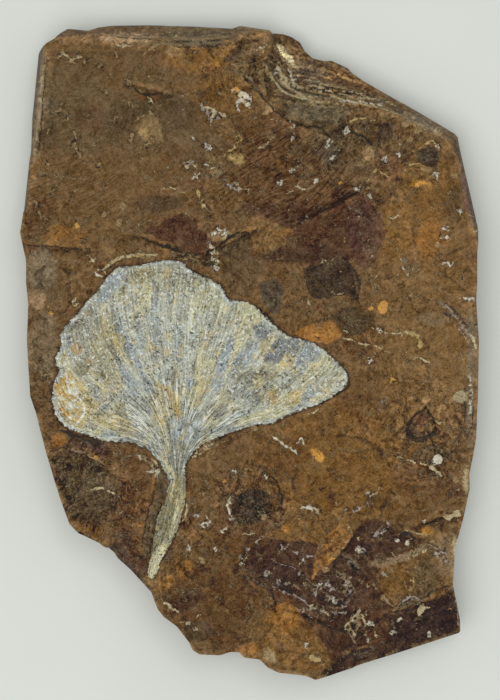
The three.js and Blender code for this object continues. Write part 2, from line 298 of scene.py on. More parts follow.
STAINS = {
    "left edge of the right crust": (GREY, 0.6, 4, (470, 425), (5, 36), 0),
    "pale ground, lower right edge": (CREAM, 0.9, 3, (456, 563), (5, 26), 0),
    "rust ground, left": (OCHRE, 0.6, 8, (66, 238), (22, 14), 0),
    "dark ground over the leaf": (MAROON, 0.7, 8, (198, 247), (26, 12), 10),
    "olive ground, upper left": (OLIVE, 0.8, 20, (80, 88), (46, 26), 0),
    "reddish ground beside it": (BROWN, 0.7, 14, (115, 70), (13, 22), 0),
    "brown ground, left": (BROWN, 0.6, 24, (90, 190), (50, 25), 0),
    "brown ground left of the leaf": (BROWN, 0.6, 14, (78, 265), (24, 26), 0),
    "brown ground, top middle": (HONEY, 0.8, 20, (225, 92), (30, 22), 0),
    "tan ground, centre": (CHESTNUT, 0.85, 16, (272, 165), (26, 20), 0),
    "top bevel": (PINK, 0.95, 5, (128, 37), (26, 6), 0),
    "top bevel, pale end": (GREY, 0.9, 4, (201, 42), (14, 5), 0),
    "dark top edge": (OLIVE, 0.6, 7, (172, 39), (15, 7), 0),
    "rust band": (OCHRE, 0.7, 9, (196, 58), (32, 13), 0),
    "rust band, tan start": (TAN, 0.6, 4, (175, 51), (9, 6), 0),
    "rust band, dark heart": (DARK_OLIVE, 0.6, 4, (189, 60), (9, 4), 0),
    "rust band, orange end": (OCHRE, 0.5, 5, (216, 59), (9, 7), 0),
    "left bevel": (GREY, 0.9, 4, (37, 104), (6, 56), -3),
    "blue patch, upper left": (SLATE, 0.5, 4, (51, 106), (6, 9), 0),
    "purple patch, upper left": (DARK_OLIVE, 0.7, 8, (46, 136), (11, 17), 0),
    "dotted maroon patch": (MAROON, 0.5, 6, (90, 117), (15, 12), 0),
    "hollow, orange rim": (RUST, 0.6, 3, (146, 87), (15, 4), -12),
    # The hollow's dark band: painted shade under its orange rim
    "hollow": (CHESTNUT, 0.85, 3, (151, 95), (15, 4.5), 0),
    "hollow, olive end": (DARK_OLIVE, 0.6, 7, (178, 104), (16, 10), 0),
    "grey-tan blob": (TAN, 0.6, 3, (150, 129), (15, 15), 20),
    "grey-tan blob, heart": (STRAW, 0.6, 2, (143.5, 133), (5, 5), 0),
    "red left edge": (HONEY, 0.5, 4, (37, 170), (6, 13), 0),
    "dark smear": (DARK_OLIVE, 0.95, 6, (160, 204), (28, 9), 0),
    "maroon, left edge": (CHESTNUT, 0.85, 6, (41, 213), (14, 13), 0),
    "yellow dots, left edge": (ORANGE, 0.4, 3, (59, 233), (10, 6), 0),
    "olive wedge": (BROWN, 0.7, 8, (215, 205), (16, 26), 0),
    "yellow patch, middle": (STRAW, 0.8, 3, (236, 159), (8, 6), 0),
    "grey strip on the left": (GREY, 0.8, 4, (42, 271), (15, 22), 0),
    "grey strip, pink middle": (PINK, 0.9, 5, (37, 299), (9, 10), 0),
    "grey strip, lower end": (GREY, 0.6, 5, (44, 345), (14, 33), 0),
    "brown left of the lobe": (CHESTNUT, 0.5, 7, (43, 404), (12, 26), 0),
    "spotted patch over the leaf": (TAN, 0.7, 3, (219, 236), (11, 6), 0),
    "red ridge over the leaf": (OLIVE, 0.6, 3, (137, 257), (12, 4), 0),
    "shelf": (OLIVE, 0.8, 6, (247, 62), (17, 18), 0),
    "slope, purple": (PURPLE, 0.9, 5, (311, 70), (18, 13), 0),
    "slope, olive": (MOSS, 0.9, 7, (316, 108), (34, 15), -8),
    "grey strip at the slope": (GREY, 0.75, 6, (423, 121), (24, 7), -20),
    "black pits": (BLACK, 0.7, 4, (385, 132), (9, 10), 0),
    "red spot": (BLACK, 0.8, 3, (336, 132), (6, 4), 0),
    "dark teal patch": (SLATE, 0.8, 5, (331, 152), (9, 12), 0),
    "tan patch, upper right": (TAN, 0.6, 5, (370, 155), (8, 10), 0),
    "orange under the pit": (TAN, 0.7, 3, (427, 171), (8, 4), 0),
    "tan tongue": (GOLD, 0.7, 2, (421, 184), (10, 3), 0),
    "rust-red ground": (RED, 0.5, 8, (392, 167), (14, 14), 0),
    "maroon band": (CHESTNUT, 0.9, 6, (311, 197), (23, 9), 10),
    "dark band under it": (MAROON, 0.95, 8, (297, 215), (18, 13), 0),
    "dark band, middle": (MAROON, 0.85, 7, (262, 210), (20, 8), 0),
    "ochre hump, bright top": (RUST, 0.4, 5, (258, 220), (11, 5), 0),
    "ochre hump, orange tail": (OCHRE, 0.5, 4, (283, 233), (10, 4), 0),
    "dark band over the chocolate patch": (CHOCOLATE, 0.9, 5, (296, 256), (44, 7), 0),
    "grey-lilac bevel": (PLUM, 0.7, 4, (467, 198), (5, 25), 10),
    "dark purple edge": (BLACK, 0.95, 3, (457, 148), (3, 12), 10),
    "dark olive patch": (DARK_OLIVE, 0.8, 5, (356, 322), (20, 12), 0),
    "pale right edge": (GREY, 0.85, 5, (472, 350), (5, 40), 0),
    "red pit": (RED, 0.8, 3, (421, 420), (8, 8), 0),
    "black of the red pit": (PITCH, 0.75, 3, (411, 430), (8, 9), 30),
    "black under the red pit": (PITCH, 0.75, 3, (427, 434), (10, 4), 0),
    "dark patch, right": (DARK_OLIVE, 0.95, 6, (433, 454), (18, 10), 0),
    "orange streak": (GOLD, 0.97, 3, (317, 455), (8, 4.5), -40),
    "yellow nugget": (ORANGE, 0.85, 2, (59.5, 440), (6, 7.5), -20),
    "shadow under the lobe": (BLACK, 0.9, 4, (88, 440), (19, 6), -8),
    "pale flecked ground": (BROWN, 0.6, 7, (119, 473), (12, 9), 0),
    "pink-brown ground, lower left": (HONEY, 0.6, 8, (86, 529), (18, 9), -20),
    "reddish ground, lower left": (UMBER, 0.9, 6, (137, 517), (12, 9), 0),
    "orange flecks, lower left": (OCHRE, 0.95, 2, (138, 525), (6, 2.5), 0),
    "maroon wedge, lower left": (CHOCOLATE, 0.97, 6, (130, 561), (22, 15), -48),
    "dark spots at the petiole": (DARK_OLIVE, 0.9, 3, (170, 554), (5, 7), 0),
    "dark band at the petiole": (OLIVE, 0.7, 3, (187, 464), (5, 6), 0),
    "orange below the petiole": (OCHRE, 0.95, 6, (166, 582), (8, 7), 0),
    "dark ground below the petiole": (CHOCOLATE, 0.85, 7, (184, 602), (20, 9), 30),
    "dark spot, lower left": (DARK_OLIVE * 0.8, 0.95, 3, (197, 632), (17, 10), 0),
    "reddish edge, bottom": (CHESTNUT, 0.7, 6, (226, 643), (14, 9), 0),
    "orange edge, bottom": (ORANGE, 0.8, 4, (249, 650), (9, 5), 0),
    "ochre ground, bright spot": (ORANGE, 0.9, 2, (285.5, 529), (3, 4), 0),
    "dark blue bit": (CHOCOLATE, 0.8, 2, (332, 496), (4, 6), 0),
    "red of the maroon ground": (RED, 0.3, 4, (283, 595), (13, 7), -20),
    "blue-black wedge": (PURPLE, 0.9, 2, (350, 561), (12, 5), -35),
    "pink crust": (PINK, 0.9, 3, (378, 564), (9, 4), -5),
    "pink ground, lower right": (PINK, 0.75, 5, (446, 556), (9, 22), 0),
    "pale crust, right edge": (CREAM, 0.7, 2, (466, 480), (3, 13), 0),
    "purple nick, right edge": (MAROON, 0.9, 3, (456, 493), (9, 5), 0),
    "ochre by the crack": (GOLD, 0.6, 4, (427, 531), (6, 4), 0),
    "olive plain": (CHESTNUT, 0.7, 4, (316, 628), (12, 7), 0),
    "dark hollow, bottom": (CHOCOLATE, 0.9, 4, (332, 638), (7, 6), 0),
    "orange ground, bottom": (ORANGE, 0.7, 6, (286, 619), (14, 15), 0),
    "ochre ground, bottom edge": (HONEY, 0.75, 6, (308, 662), (22, 9), 0),
    "pink-grey blot": (CREAM, 0.4, 4, (270, 656), (6, 9), 30),
    "ochre ground right of the petiole tip": (OCHRE, 0.6, 6, (185, 568), (8, 11), 0),
    "tan ground, upper middle": (TAN, 0.5, 6, (216, 167), (9, 9), 0),
    "dark ground, lower left edge": (CHOCOLATE, 0.95, 6, (121, 544), (10, 15), -30),
    "rust ground, upper middle": (RUST, 0.7, 6, (232, 136), (10, 9), 0),
    "dark ground over the squiggle": (UMBER, 0.8, 6, (378, 503), (12, 9), 0),
    "dark ground by the bevel": (DARK_OLIVE, 0.6, 5, (455, 203), (8, 20), 0),
    "dark ground left of the pit": (DARK_OLIVE, 0.7, 6, (405, 152), (9, 12), 0),
    "dark ground, right of the dome": (MAROON, 0.8, 6, (376, 632), (14, 16), 0),
    "dark foot of the shelf": (DARK_OLIVE, 0.6, 6, (289, 98), (14, 12), 0),
    "dark foot of the flats": (CHESTNUT * 0.8, 0.7, 4, (407, 600), (9, 7), 0),
    "brown ground, bottom": (HONEY * 0.9, 0.6, 6, (288, 648), (16, 8), 0),
    "dark ground over the pit": (DARK_OLIVE, 0.5, 6, (431, 137), (16, 7), -15),
    "dark ground left of the hump": (DARK_OLIVE, 0.5, 5, (232, 216), (10, 8), 0),
    "dark ground at the leaf top": (DARK_OLIVE, 0.6, 4, (193, 264), (16, 6), 5),
}

# Patches with a sharp edge, by their corners: colour, strength and corners.
PATCHES = {
    "ochre hump": (RUST, 0.9, [
        (243, 224), (250, 218), (262, 216), (272, 222), (284, 228), (294, 231), (286, 236),
        (284, 248), (279, 256), (264, 257), (251, 255), (251, 240), (245, 232)]),
    "olive flake below it": (DARK_OLIVE, 0.85, [
        (232, 243), (240, 234), (251, 233), (251, 256), (236, 260), (222, 258), (226, 248)]),
    "pale strip, top right": (CREAM, 0.95, [
        (277, 39), (283, 40), (289, 48), (295, 56), (300, 64), (301, 69), (296, 69), (290, 62),
        (284, 53), (279, 46)]),
    "tan corner": (TAN, 0.9, [
        (262, 115), (266, 106), (271, 102), (275, 107), (274, 112), (266, 116)]),
    "grey blob": (SLATE, 0.85, [
        (261, 281), (272, 279), (282, 284), (283, 294), (281, 306), (276, 313), (268, 310),
        (263, 302), (259, 291)]),
    "dark pit": (SLATE * 0.45, 0.9, [
        (415, 153), (421, 149), (432, 148), (439, 154), (438, 163), (430, 168), (420, 163)]),
    "slate wedge": (SLATE * 0.7, 0.85, [
        (333, 316), (346, 309), (360, 312), (368, 325), (361, 335), (347, 334), (338, 327)]),
    "grey hollow": (SLATE * 0.45, 0.9, [
        (232, 505), (236, 497), (245, 491), (258, 489), (268, 496), (270, 508), (262, 520),
        (250, 524), (240, 522), (233, 514)]),
    "orange oblong": (ORANGE, 0.95, [
        (296, 334), (304, 326), (315, 323), (330, 322), (338, 327), (341, 335), (334, 342),
        (318, 342), (304, 340)]),
    "purple-brown flake": (PLUM * 0.95, 0.6, [
        (350, 205), (362, 200), (377, 211), (384, 228), (380, 248), (372, 266), (358, 266),
        (348, 242), (346, 220)]),
    "worn patch, left": (DARK_OLIVE * 0.85, 0.95, [
        (57, 456), (72, 452), (90, 457), (104, 467), (114, 480), (118, 498), (108, 512),
        (98, 526), (76, 520), (64, 508), (59, 486), (54, 468)]),
    "red patch under the lobe": (PLUM, 0.95, [
        (72, 440), (84, 443), (96, 442), (106, 446), (110, 453), (104, 458), (96, 456),
        (88, 448), (76, 446)]),
    "ochre ground, bottom middle": (HONEY, 0.9, [
        (283, 520), (300, 519), (318, 523), (324, 531), (316, 544), (300, 540), (284, 541),
        (268, 538), (272, 531), (284, 529)]),
    "maroon wedge": (MAROON, 1, [
        (141, 232), (176, 216), (192, 219), (209, 244), (199, 255), (176, 245)]),
    "chocolate patch": (BLACK * 1.2, 0.95, [
        (304, 268), (329, 262), (350, 263), (359, 280), (358, 300), (344, 294), (321, 299),
        (310, 293)]),
    "ochre tongue": (ORANGE, 0.65, [
        (347, 522), (352, 536), (344, 546), (334, 557), (328, 570), (313, 580), (312, 573),
        (318, 557), (326, 536), (337, 526)]),
    "maroon ground": (MAROON * 0.85, 0.95, [
        (243, 563), (248, 550), (256, 541), (272, 540), (290, 541), (305, 541), (318, 545),
        (314, 560), (313, 580), (320, 570), (332, 562), (346, 553), (352, 537), (362, 524),
        (374, 520), (386, 524), (404, 533), (415, 539), (412, 549), (396, 558), (384, 563),
        (378, 574), (380, 588), (392, 604), (386, 622), (352, 648), (334, 662), (322, 640),
        (300, 614), (296, 606), (280, 602), (272, 600), (266, 590), (254, 584), (246, 576)]),
    "dark heart of the maroon": (CHOCOLATE * 0.8, 0.9, [
        (250, 562), (272, 562), (292, 566), (304, 576), (292, 586), (272, 586), (256, 578)]),
    "dark top of the maroon": (CHOCOLATE, 0.7, [
        (352, 537), (362, 524), (374, 520), (386, 524), (404, 533), (396, 556), (384, 562),
        (370, 556), (356, 556), (346, 551)]),
    "dome": (CHOCOLATE, 0.85, [
        (320, 574), (334, 568), (352, 573), (360, 588), (352, 604), (334, 610), (318, 600)]),
    "dark ground under the lines": (CHOCOLATE * 0.85, 0.9, [
        (312, 614), (340, 618), (362, 624), (372, 640), (350, 650), (330, 642)]),
    "ochre flat": (HONEY, 0.9, [
        (384, 563), (398, 558), (412, 557), (418, 562), (413, 574), (412, 590), (404, 597),
        (394, 601), (385, 594), (380, 584), (379, 572)]),
    "olive flat": (OLIVE, 0.95, [
        (418, 562), (426, 557), (436, 566), (438, 580), (434, 590), (422, 599), (412, 592),
        (414, 575)]),
    "ochre ground, bottom left": (OCHRE, 0.35, [
        (270, 606), (282, 603), (296, 607), (302, 618), (316, 634), (322, 652), (316, 668),
        (292, 664), (270, 652), (262, 630)]),
    "lower right face": (DUSK, 0.97, [
        (451, 589), (438, 598), (424, 601), (414, 606), (402, 612), (390, 616), (388, 632),
        (372, 646), (352, 652), (336, 662), (331, 676), (466, 640), (462, 600)]),
    "brown foot of that face": (CHOCOLATE, 0.5, [
        (398, 642), (352, 656), (333, 676), (400, 662), (430, 648)]),
}

# Upper right, where the layers have broken off the face: centre, reach, turn and soft edge.
BROKEN_CORNER = ((330, 85), (75, 45), 30, 30)

# Groove beside the petiole, where the shale split off: its outline.
GROOVE = [
    (158, 463), (156, 481), (156, 496), (152, 511), (146, 521), (143, 533), (142, 547),
    (144, 558), (152, 558), (151, 546), (155, 529), (158, 517), (162, 504), (169, 492),
    (169, 480), (164, 468)]

# Pale mineral lines: colour, width in pixels and the pixels they run through.
CRUST_LINES = {
    "top right strip, thin": (CREAM, 1.4, [(274, 40), (283, 53), (293, 66)]),
    "shelf line": (CREAM, 2.2, [(270, 57), (280, 66), (282, 78), (289, 85), (304, 95), (321, 95)]),
    "shelf line, inner": (CREAM, 1.5, [(266, 62), (272, 72), (278, 84), (290, 96)]),
    "shelf ledge": (CREAM, 1.6, [(256, 49), (263, 45), (270, 43)]),
    "slope zigzag": (WHITE, 2.2, [(288, 66), (291, 73), (297, 81)]),
    "slope line": (CREAM, 2.7, [(308, 83), (320, 85), (334, 91)]),
    "slope long line": (WHITE, 2.7, [(341, 100), (360, 101), (383, 104.5)]),
    "slope line, upper": (CREAM, 2.5, [(345, 89), (356, 90), (368, 93)]),
    "slope line, lower": (CREAM, 2.3, [(360, 96), (370, 96), (382, 97)]),
    "slope curve": (CREAM, 1.4, [(275, 135), (268, 143), (258, 149)]),
    "centre fork": (CREAM, 1.8, [(201, 106), (214, 109.5), (211, 118)]),
    "centre fork, right": (CREAM, 1.2, [(214, 109.5), (220, 113), (225, 118)]),
    "centre streak": (STRAW, 3, [(224, 156), (231, 150), (238, 146)]),
    "centre curl": (STRAW, 1.8, [(234, 139), (238, 136), (241, 139), (238, 143)]),
    "tan line": (TAN, 2.7, [(216, 167), (220, 161), (224, 156)]),
    "lightning": (CREAM, 1.4, [(183, 162), (188, 168), (192, 163), (197, 169)]),
    "zigzag": (CREAM, 1.2, [(162, 189), (172, 188), (180, 192), (191, 191)]),
    "cream streak": (STRAW, 2.6, [(197, 189), (199, 198), (201, 206)]),
    "cream streak, tail": (CREAM, 1.1, [(201, 202), (206, 208), (211, 212)]),
    "short squiggle": (CREAM, 1.4, [(235, 184), (241, 189), (249, 189)]),
    "hollow glint": (CREAM, 2.1, [(147, 97), (152, 99)]),
    "hollow curve": (TAN, 1, [(134, 122), (141, 117), (151, 113)]),
    "blob curl": (TAN, 1.4, [(148, 142), (151, 138), (154, 141), (151, 145)]),
    "blob side": (TAN, 4.1, [(132, 132), (132, 143)]),
    "top tan waves": (CREAM, 1.2, [(57, 58), (64, 55), (71, 59), (81, 56)]),
    "top tan wave, lower": (TAN, 1.5, [(58, 64), (68, 62), (78, 65)]),
    "top bevel line": (CREAM, 2.2, [(114, 44), (124, 46), (133, 45)]),
    "top bevel streak": (GREY, 4.1, [(191, 42), (201, 41), (211, 44)]),
    "orange-tan fleck": (TAN, 2.5, [(143, 55), (150, 49), (159, 44)]),
    "left bevel streak": (PINK, 2.4, [(43, 56), (39, 90), (35, 125), (33, 152)]),
    "scratch 1": (TAN, 1, [(35, 172), (55, 175), (78, 180)]),
    "scratch 2": (TAN, 1, [(42, 184), (60, 187), (80, 191)]),
    "scratch 3": (GREY, 1, [(40, 195), (56, 197), (72, 200)]),
    "pit crust": (STRAW, 2.2, [(413, 152), (421, 147), (431, 141), (439, 146)]),
    "pit rim": (STRAW, 2, [(403, 175), (406, 168), (416, 163), (429, 168)]),
    "cream zigzag": (STRAW, 3, [(367, 182), (372, 173), (378, 169), (382, 174), (390, 178)]),
    "fleck under the slope": (STRAW, 3, [(350, 121), (358, 119), (367, 117)]),
    "dotted line": (CREAM, 1.9, [(293, 186), (302, 189), (311, 188)]),
    "band ticks": (CREAM, 1, [(321, 257), (327, 262), (333, 259)]),
    "ochre line": (CREAM, 1.6, [(387, 217), (392, 219), (397, 216)]),
    "feather, left": (WHITE, 1.4, [(399, 255), (402, 266), (407.5, 277)]),
    "feather, right": (CREAM, 1, [(416, 256), (413, 268), (407.5, 277)]),
    "feather, middle": (GREY, 5.4, [(404, 256), (407, 264), (408, 271)]),
    "right squiggle": (WHITE, 2, [(441, 264), (446, 262), (450, 266), (454, 261)]),
    "chocolate line": (CREAM, 1.5, [(330, 296.5), (337, 294), (344, 293)]),
    "chocolate inner": (GREY, 1.3, [(328, 276), (326, 285), (334, 287)]),
    "left of chocolate": (CREAM, 1.6, [(307, 299), (310, 305), (312, 310)]),
    "hook": (CREAM, 1.5, [(372, 328), (380, 331), (390, 333), (402, 333), (410, 333)]),
    "hook end": (STRAW, 10, [(408, 332), (416, 335), (420, 343), (418, 352)]),
    "beside the oblong": (CREAM, 2.2, [(339, 330), (345, 331), (348, 333)]),
    "lilac line": (CREAM, 2, [(342, 338), (352, 340), (361, 343), (374, 346), (387, 351.5)]),
    "right edge diagonal": (GREY, 4.1, [(438, 300), (450, 312), (463, 320), (476, 330)]),
    "right edge line": (WHITE, 2.4, [(461, 297), (468, 299), (474, 298)]),
    "right edge streak": (CREAM, 3.5, [(471, 334), (474, 341), (476, 349)]),
    "mid curl": (CREAM, 1.8, [(412, 361), (418, 357), (426, 361), (431, 364)]),
    "red pit end": (CREAM, 2.2, [(434, 420), (438, 423), (443, 422)]),
    "right mid cluster": (GREY, 4.1, [(375, 407), (381, 402), (386, 400)]),
    "cream line, right": (CREAM, 2.1, [(398, 457), (412, 461), (429, 466)]),
    "cream line, end": (CREAM, 3.6, [(429, 466), (436, 471), (442, 476)]),
    "dark patch spot": (WHITE, 8.1, [(434, 461), (440, 458)]),
    "yellow crystals": (CREAM, 3, [(230, 88), (237, 90), (241, 98), (247, 106)]),
    "lilac crystals": (WHITE, 2.4, [(243, 93), (249, 96), (252, 101)]),
    "white line": (WHITE, 3, [(273, 436), (285, 445), (297, 454)]),
    "white line, knot": (WHITE, 3.1, [(297, 443), (302, 439), (304, 445)]),
    "orange streak edge": (GOLD, 2.7, [(311, 448), (316, 452), (320, 458)]),
    "below the wing": (CREAM, 1.5, [(311, 414), (315, 412), (318, 409)]),
    "squiggle 300": (WHITE, 3.6, [(300, 505), (307, 508), (313, 506), (316, 508)]),
    "squiggle 300, tail": (CREAM, 2.1, [(313, 507), (317, 510), (320, 514)]),
    "squiggle 350": (LILAC, 1.9, [(344, 511), (349, 508), (354, 511), (363, 506)]),
    "loop 367": (LILAC, 1.8, [(365, 492), (369, 493), (369, 500), (367, 504)]),
    "curl 377": (CREAM, 1.4, [(373, 493), (377, 494), (379, 490)]),
    "crack crust": (CREAM, 4.6, [(444, 518), (451, 517), (457, 513), (459, 520)]),
    "tongue edge": (STRAW, 2.2, [(347, 522), (352, 535), (345, 545), (336, 554)]),
    "tongue foot": (GOLD, 3.2, [(328, 560), (333, 558), (338, 560)]),
    "circle line": (LILAC, 1.4, [(243, 563), (247, 551), (257, 540), (271, 531)]),
    "circle line, low": (GREY, 1.6, [(241, 564), (246, 575), (259, 583), (270, 590)]),
    "maroon line": (LILAC, 1.3, [(272, 560), (283, 564), (296, 568)]),
    "maroon tick": (LILAC, 1.3, [(263, 577), (266, 571), (268, 575)]),
    "long cream line": (LILAC, 1.5, [(270, 588), (283, 592), (297, 597), (311, 606), (328, 613)]),
    "long cream line, low": (LILAC, 2, [(296, 609), (304, 612), (312, 618)]),
    "cream streak, low": (CREAM, 2.7, [(311, 605), (320, 609), (328, 614)]),
    "cream streak, lower": (LILAC, 1.5, [(330, 610), (338, 612), (346, 614)]),
    "dome arc": (PINK, 1.5, [(318, 604), (330, 608), (343, 606), (352, 598)]),
    "dome arc, inner": (GREY, 1.4, [(325, 597), (334, 600), (345, 597)]),
    "dome arc, top": (GREY, 1.9, [(332, 574), (341, 573), (350, 577)]),
    "dome crystals": (PINK, 2.4, [(342, 584), (347, 588), (344, 592)]),
    "wedge glint": (GREY, 4.1, [(348, 560), (355, 563), (360, 569)]),
    "top of maroon": (LILAC, 1.7, [(376, 536), (380, 532), (384, 529)]),
    "hollow outline": (CREAM, 1.5, [(396, 538), (404, 530), (415, 533), (428, 536)]),
    "pink crust line": (PINK, 5.4, [(370, 562), (383, 565), (399, 559), (412, 552), (424, 546)]),
    "pink crust edge": (CREAM, 1.9, [(399, 560), (410, 556), (420, 554), (426, 550)]),
    "cream ridge": (TAN, 3.9, [(373, 585), (382, 596), (394, 607)]),
    "flat line": (STRAW, 1.6, [(419, 560), (416, 568), (414, 578), (412, 591)]),
    "flat line, foot": (TAN, 1.9, [(404, 580), (408, 589), (412, 591)]),
    "lens, upper": (LILAC, 1.4, [(398, 606), (405, 599), (412, 597), (424, 601)]),
    "lens, lower": (GREY, 1.6, [(400, 608), (410, 606), (424, 601)]),
    "crescent": (CREAM, 9, [(419, 616), (421, 611), (425, 608), (430, 608)]),
    "face line": (GREY, 1, [(391, 613), (393, 624), (397, 637)]),
    "fan, left": (CREAM, 2.6, [(359, 610), (354, 618), (344, 626)]),
    "fan, below": (CREAM, 2, [(344, 630), (352, 631), (358, 637)]),
    "fan, middle": (PINK, 3, [(359, 610), (358, 622), (357, 634)]),
    "fan, right": (CREAM, 1.6, [(360, 610), (364, 622), (368, 640)]),
    "white blob, low": (CREAM, 3, [(375, 631), (376, 639)]),
    "right bevel line": (LILAC, 1.2, [(452, 585), (458, 611), (459.5, 628)]),
    "cream lens, low": (STRAW, 4, [(305, 657), (314, 658), (321, 662)]),
    "cream lens, tail": (CREAM, 2, [(314, 657), (322, 662), (324, 667)]),
    "tan line, low": (CREAM, 3, [(161, 599), (170, 606), (180, 612)]),
    "tan line, lower": (CREAM, 2.7, [(185, 621), (192, 626), (198, 631)]),
    "worn patch line": (CREAM, 2.7, [(86, 491), (99, 488), (109, 491), (118, 496)]),
    "worn patch edge": (PINK, 2.7, [(56, 452), (70, 450), (93, 457), (110, 470)]),
    "pale line, left": (TAN, 2.7, [(42, 375), (48, 374), (55, 376)]),
    "crystals, left 1": (WHITE, 2.4, [(94, 272), (98, 275), (102, 277)]),
    "crystals, left 2": (CREAM, 1.9, [(97, 269), (103, 270), (106, 274)]),
    "crystals, left 3": (STRAW, 2.2, [(110, 263), (114, 261), (117, 264)]),
    "crystals, left 4": (CREAM, 1.4, [(88, 255), (93, 260), (96, 265)]),
    "red ridge line": (STRAW, 1.9, [(126, 256), (134, 257), (142, 254), (149, 256)]),
    "curl left of the leaf": (CREAM, 1.3, [(72, 304), (74, 300), (78, 303), (76, 309)]),
    "groove cluster": (WHITE, 2.4, [(153, 469), (158, 472), (157, 478)]),
    "arc over the groove": (GREY, 2.7, [(126, 457), (139, 455), (150, 461), (156, 468)]),
    "hollow cluster": (WHITE, 2.6, [(231, 497), (227, 504), (229, 511), (231, 517)]),
    "hollow line": (CREAM, 2.4, [(245, 534), (250, 534), (255, 533)]),
    "petiole crystals": (CREAM, 2.6, [(184, 495), (187, 505), (186, 514), (180, 526)]),
    "feather over the leaf 1": (WHITE, 1.2, [(209, 250), (212, 257), (217, 262)]),
    "feather over the leaf 2": (CREAM, 1.1, [(214, 247), (217, 255), (216, 266)]),
}

# Bundles of thin lines: their colours, how many, the bundle's width in pixels and the pixels
# that its middle runs through.
BUNDLES = {
    "shelf": ((CREAM, TAN, PITCH, PITCH), 18, 20, [
        (264, 50), (274, 62), (281, 74), (291, 84), (308, 90), (332, 94), (352, 98)]),
    "slope": ((CREAM, TAN, GREY, PITCH), 22, 20, [
        (300, 82), (325, 87), (350, 93), (378, 100), (410, 112)]),
    "beside the strip": ((TAN, PITCH), 6, 7, [(276, 44), (284, 56), (292, 68), (298, 80)]),
    "block at the shelf": ((GREY, TAN, PITCH), 14, 18, [(244, 74), (254, 83), (266, 94)]),
    "top edge": ((TAN, GREY, PITCH), 14, 12, [(100, 38), (150, 41), (200, 42), (236, 38)]),
    "left of the leaf top": ((CREAM, TAN, PITCH), 14, 9, [
        (96, 274), (108, 265), (122, 257), (140, 256), (158, 258)]),
    "over the leaf top": ((TAN, PITCH, PITCH), 12, 10, [
        (170, 255), (190, 258), (203, 262), (218, 268)]),
    "right of the junction": ((CREAM, PITCH, TAN), 14, 8, [
        (188, 464), (197, 453), (209, 445), (224, 438)]),
    "left of the junction": ((CREAM, TAN, PITCH), 8, 7, [(138, 454), (151, 461), (158, 474)]),
    "maroon ground": ((PINK, PITCH, GREY, PITCH, PITCH), 10, 26, [
        (250, 574), (278, 574), (308, 592), (344, 606)]),
    "dome": ((PINK, PITCH, PITCH), 9, 12, [
        (318, 592), (321, 580), (335, 578), (347, 586), (348, 600), (334, 606)]),
    "fan": ((TAN, PINK, PITCH, PITCH), 12, 18, [(360, 608), (356, 624), (364, 644)]),
    "right of the tongue": ((GREY, PITCH, PITCH), 6, 8, [(345, 556), (352, 566), (358, 578)]),
    "top of the maroon": ((PINK, PITCH, PITCH), 6, 10, [(366, 545), (378, 534), (388, 524)]),
    "pink crust": ((PINK, PITCH, TAN), 10, 10, [
        (376, 566), (398, 560), (412, 556), (424, 545), (440, 552), (448, 566)]),
    "crust, right edge": ((WHITE, GREY, PITCH), 9, 9, [
        (466, 372), (469, 395), (468, 420), (463, 440)]),
    "dark ring of the red pit": ((PITCH, BLACK), 10, 8, [
        (408, 422), (409, 436), (420, 441), (433, 436), (438, 426)]),
    "right edge": ((GREY, LILAC, PITCH), 9, 14, [(438, 296), (455, 316), (472, 338)]),
    "lens": ((GREY, PITCH, PITCH), 8, 8, [(382, 596), (396, 607), (408, 602), (424, 602)]),
}
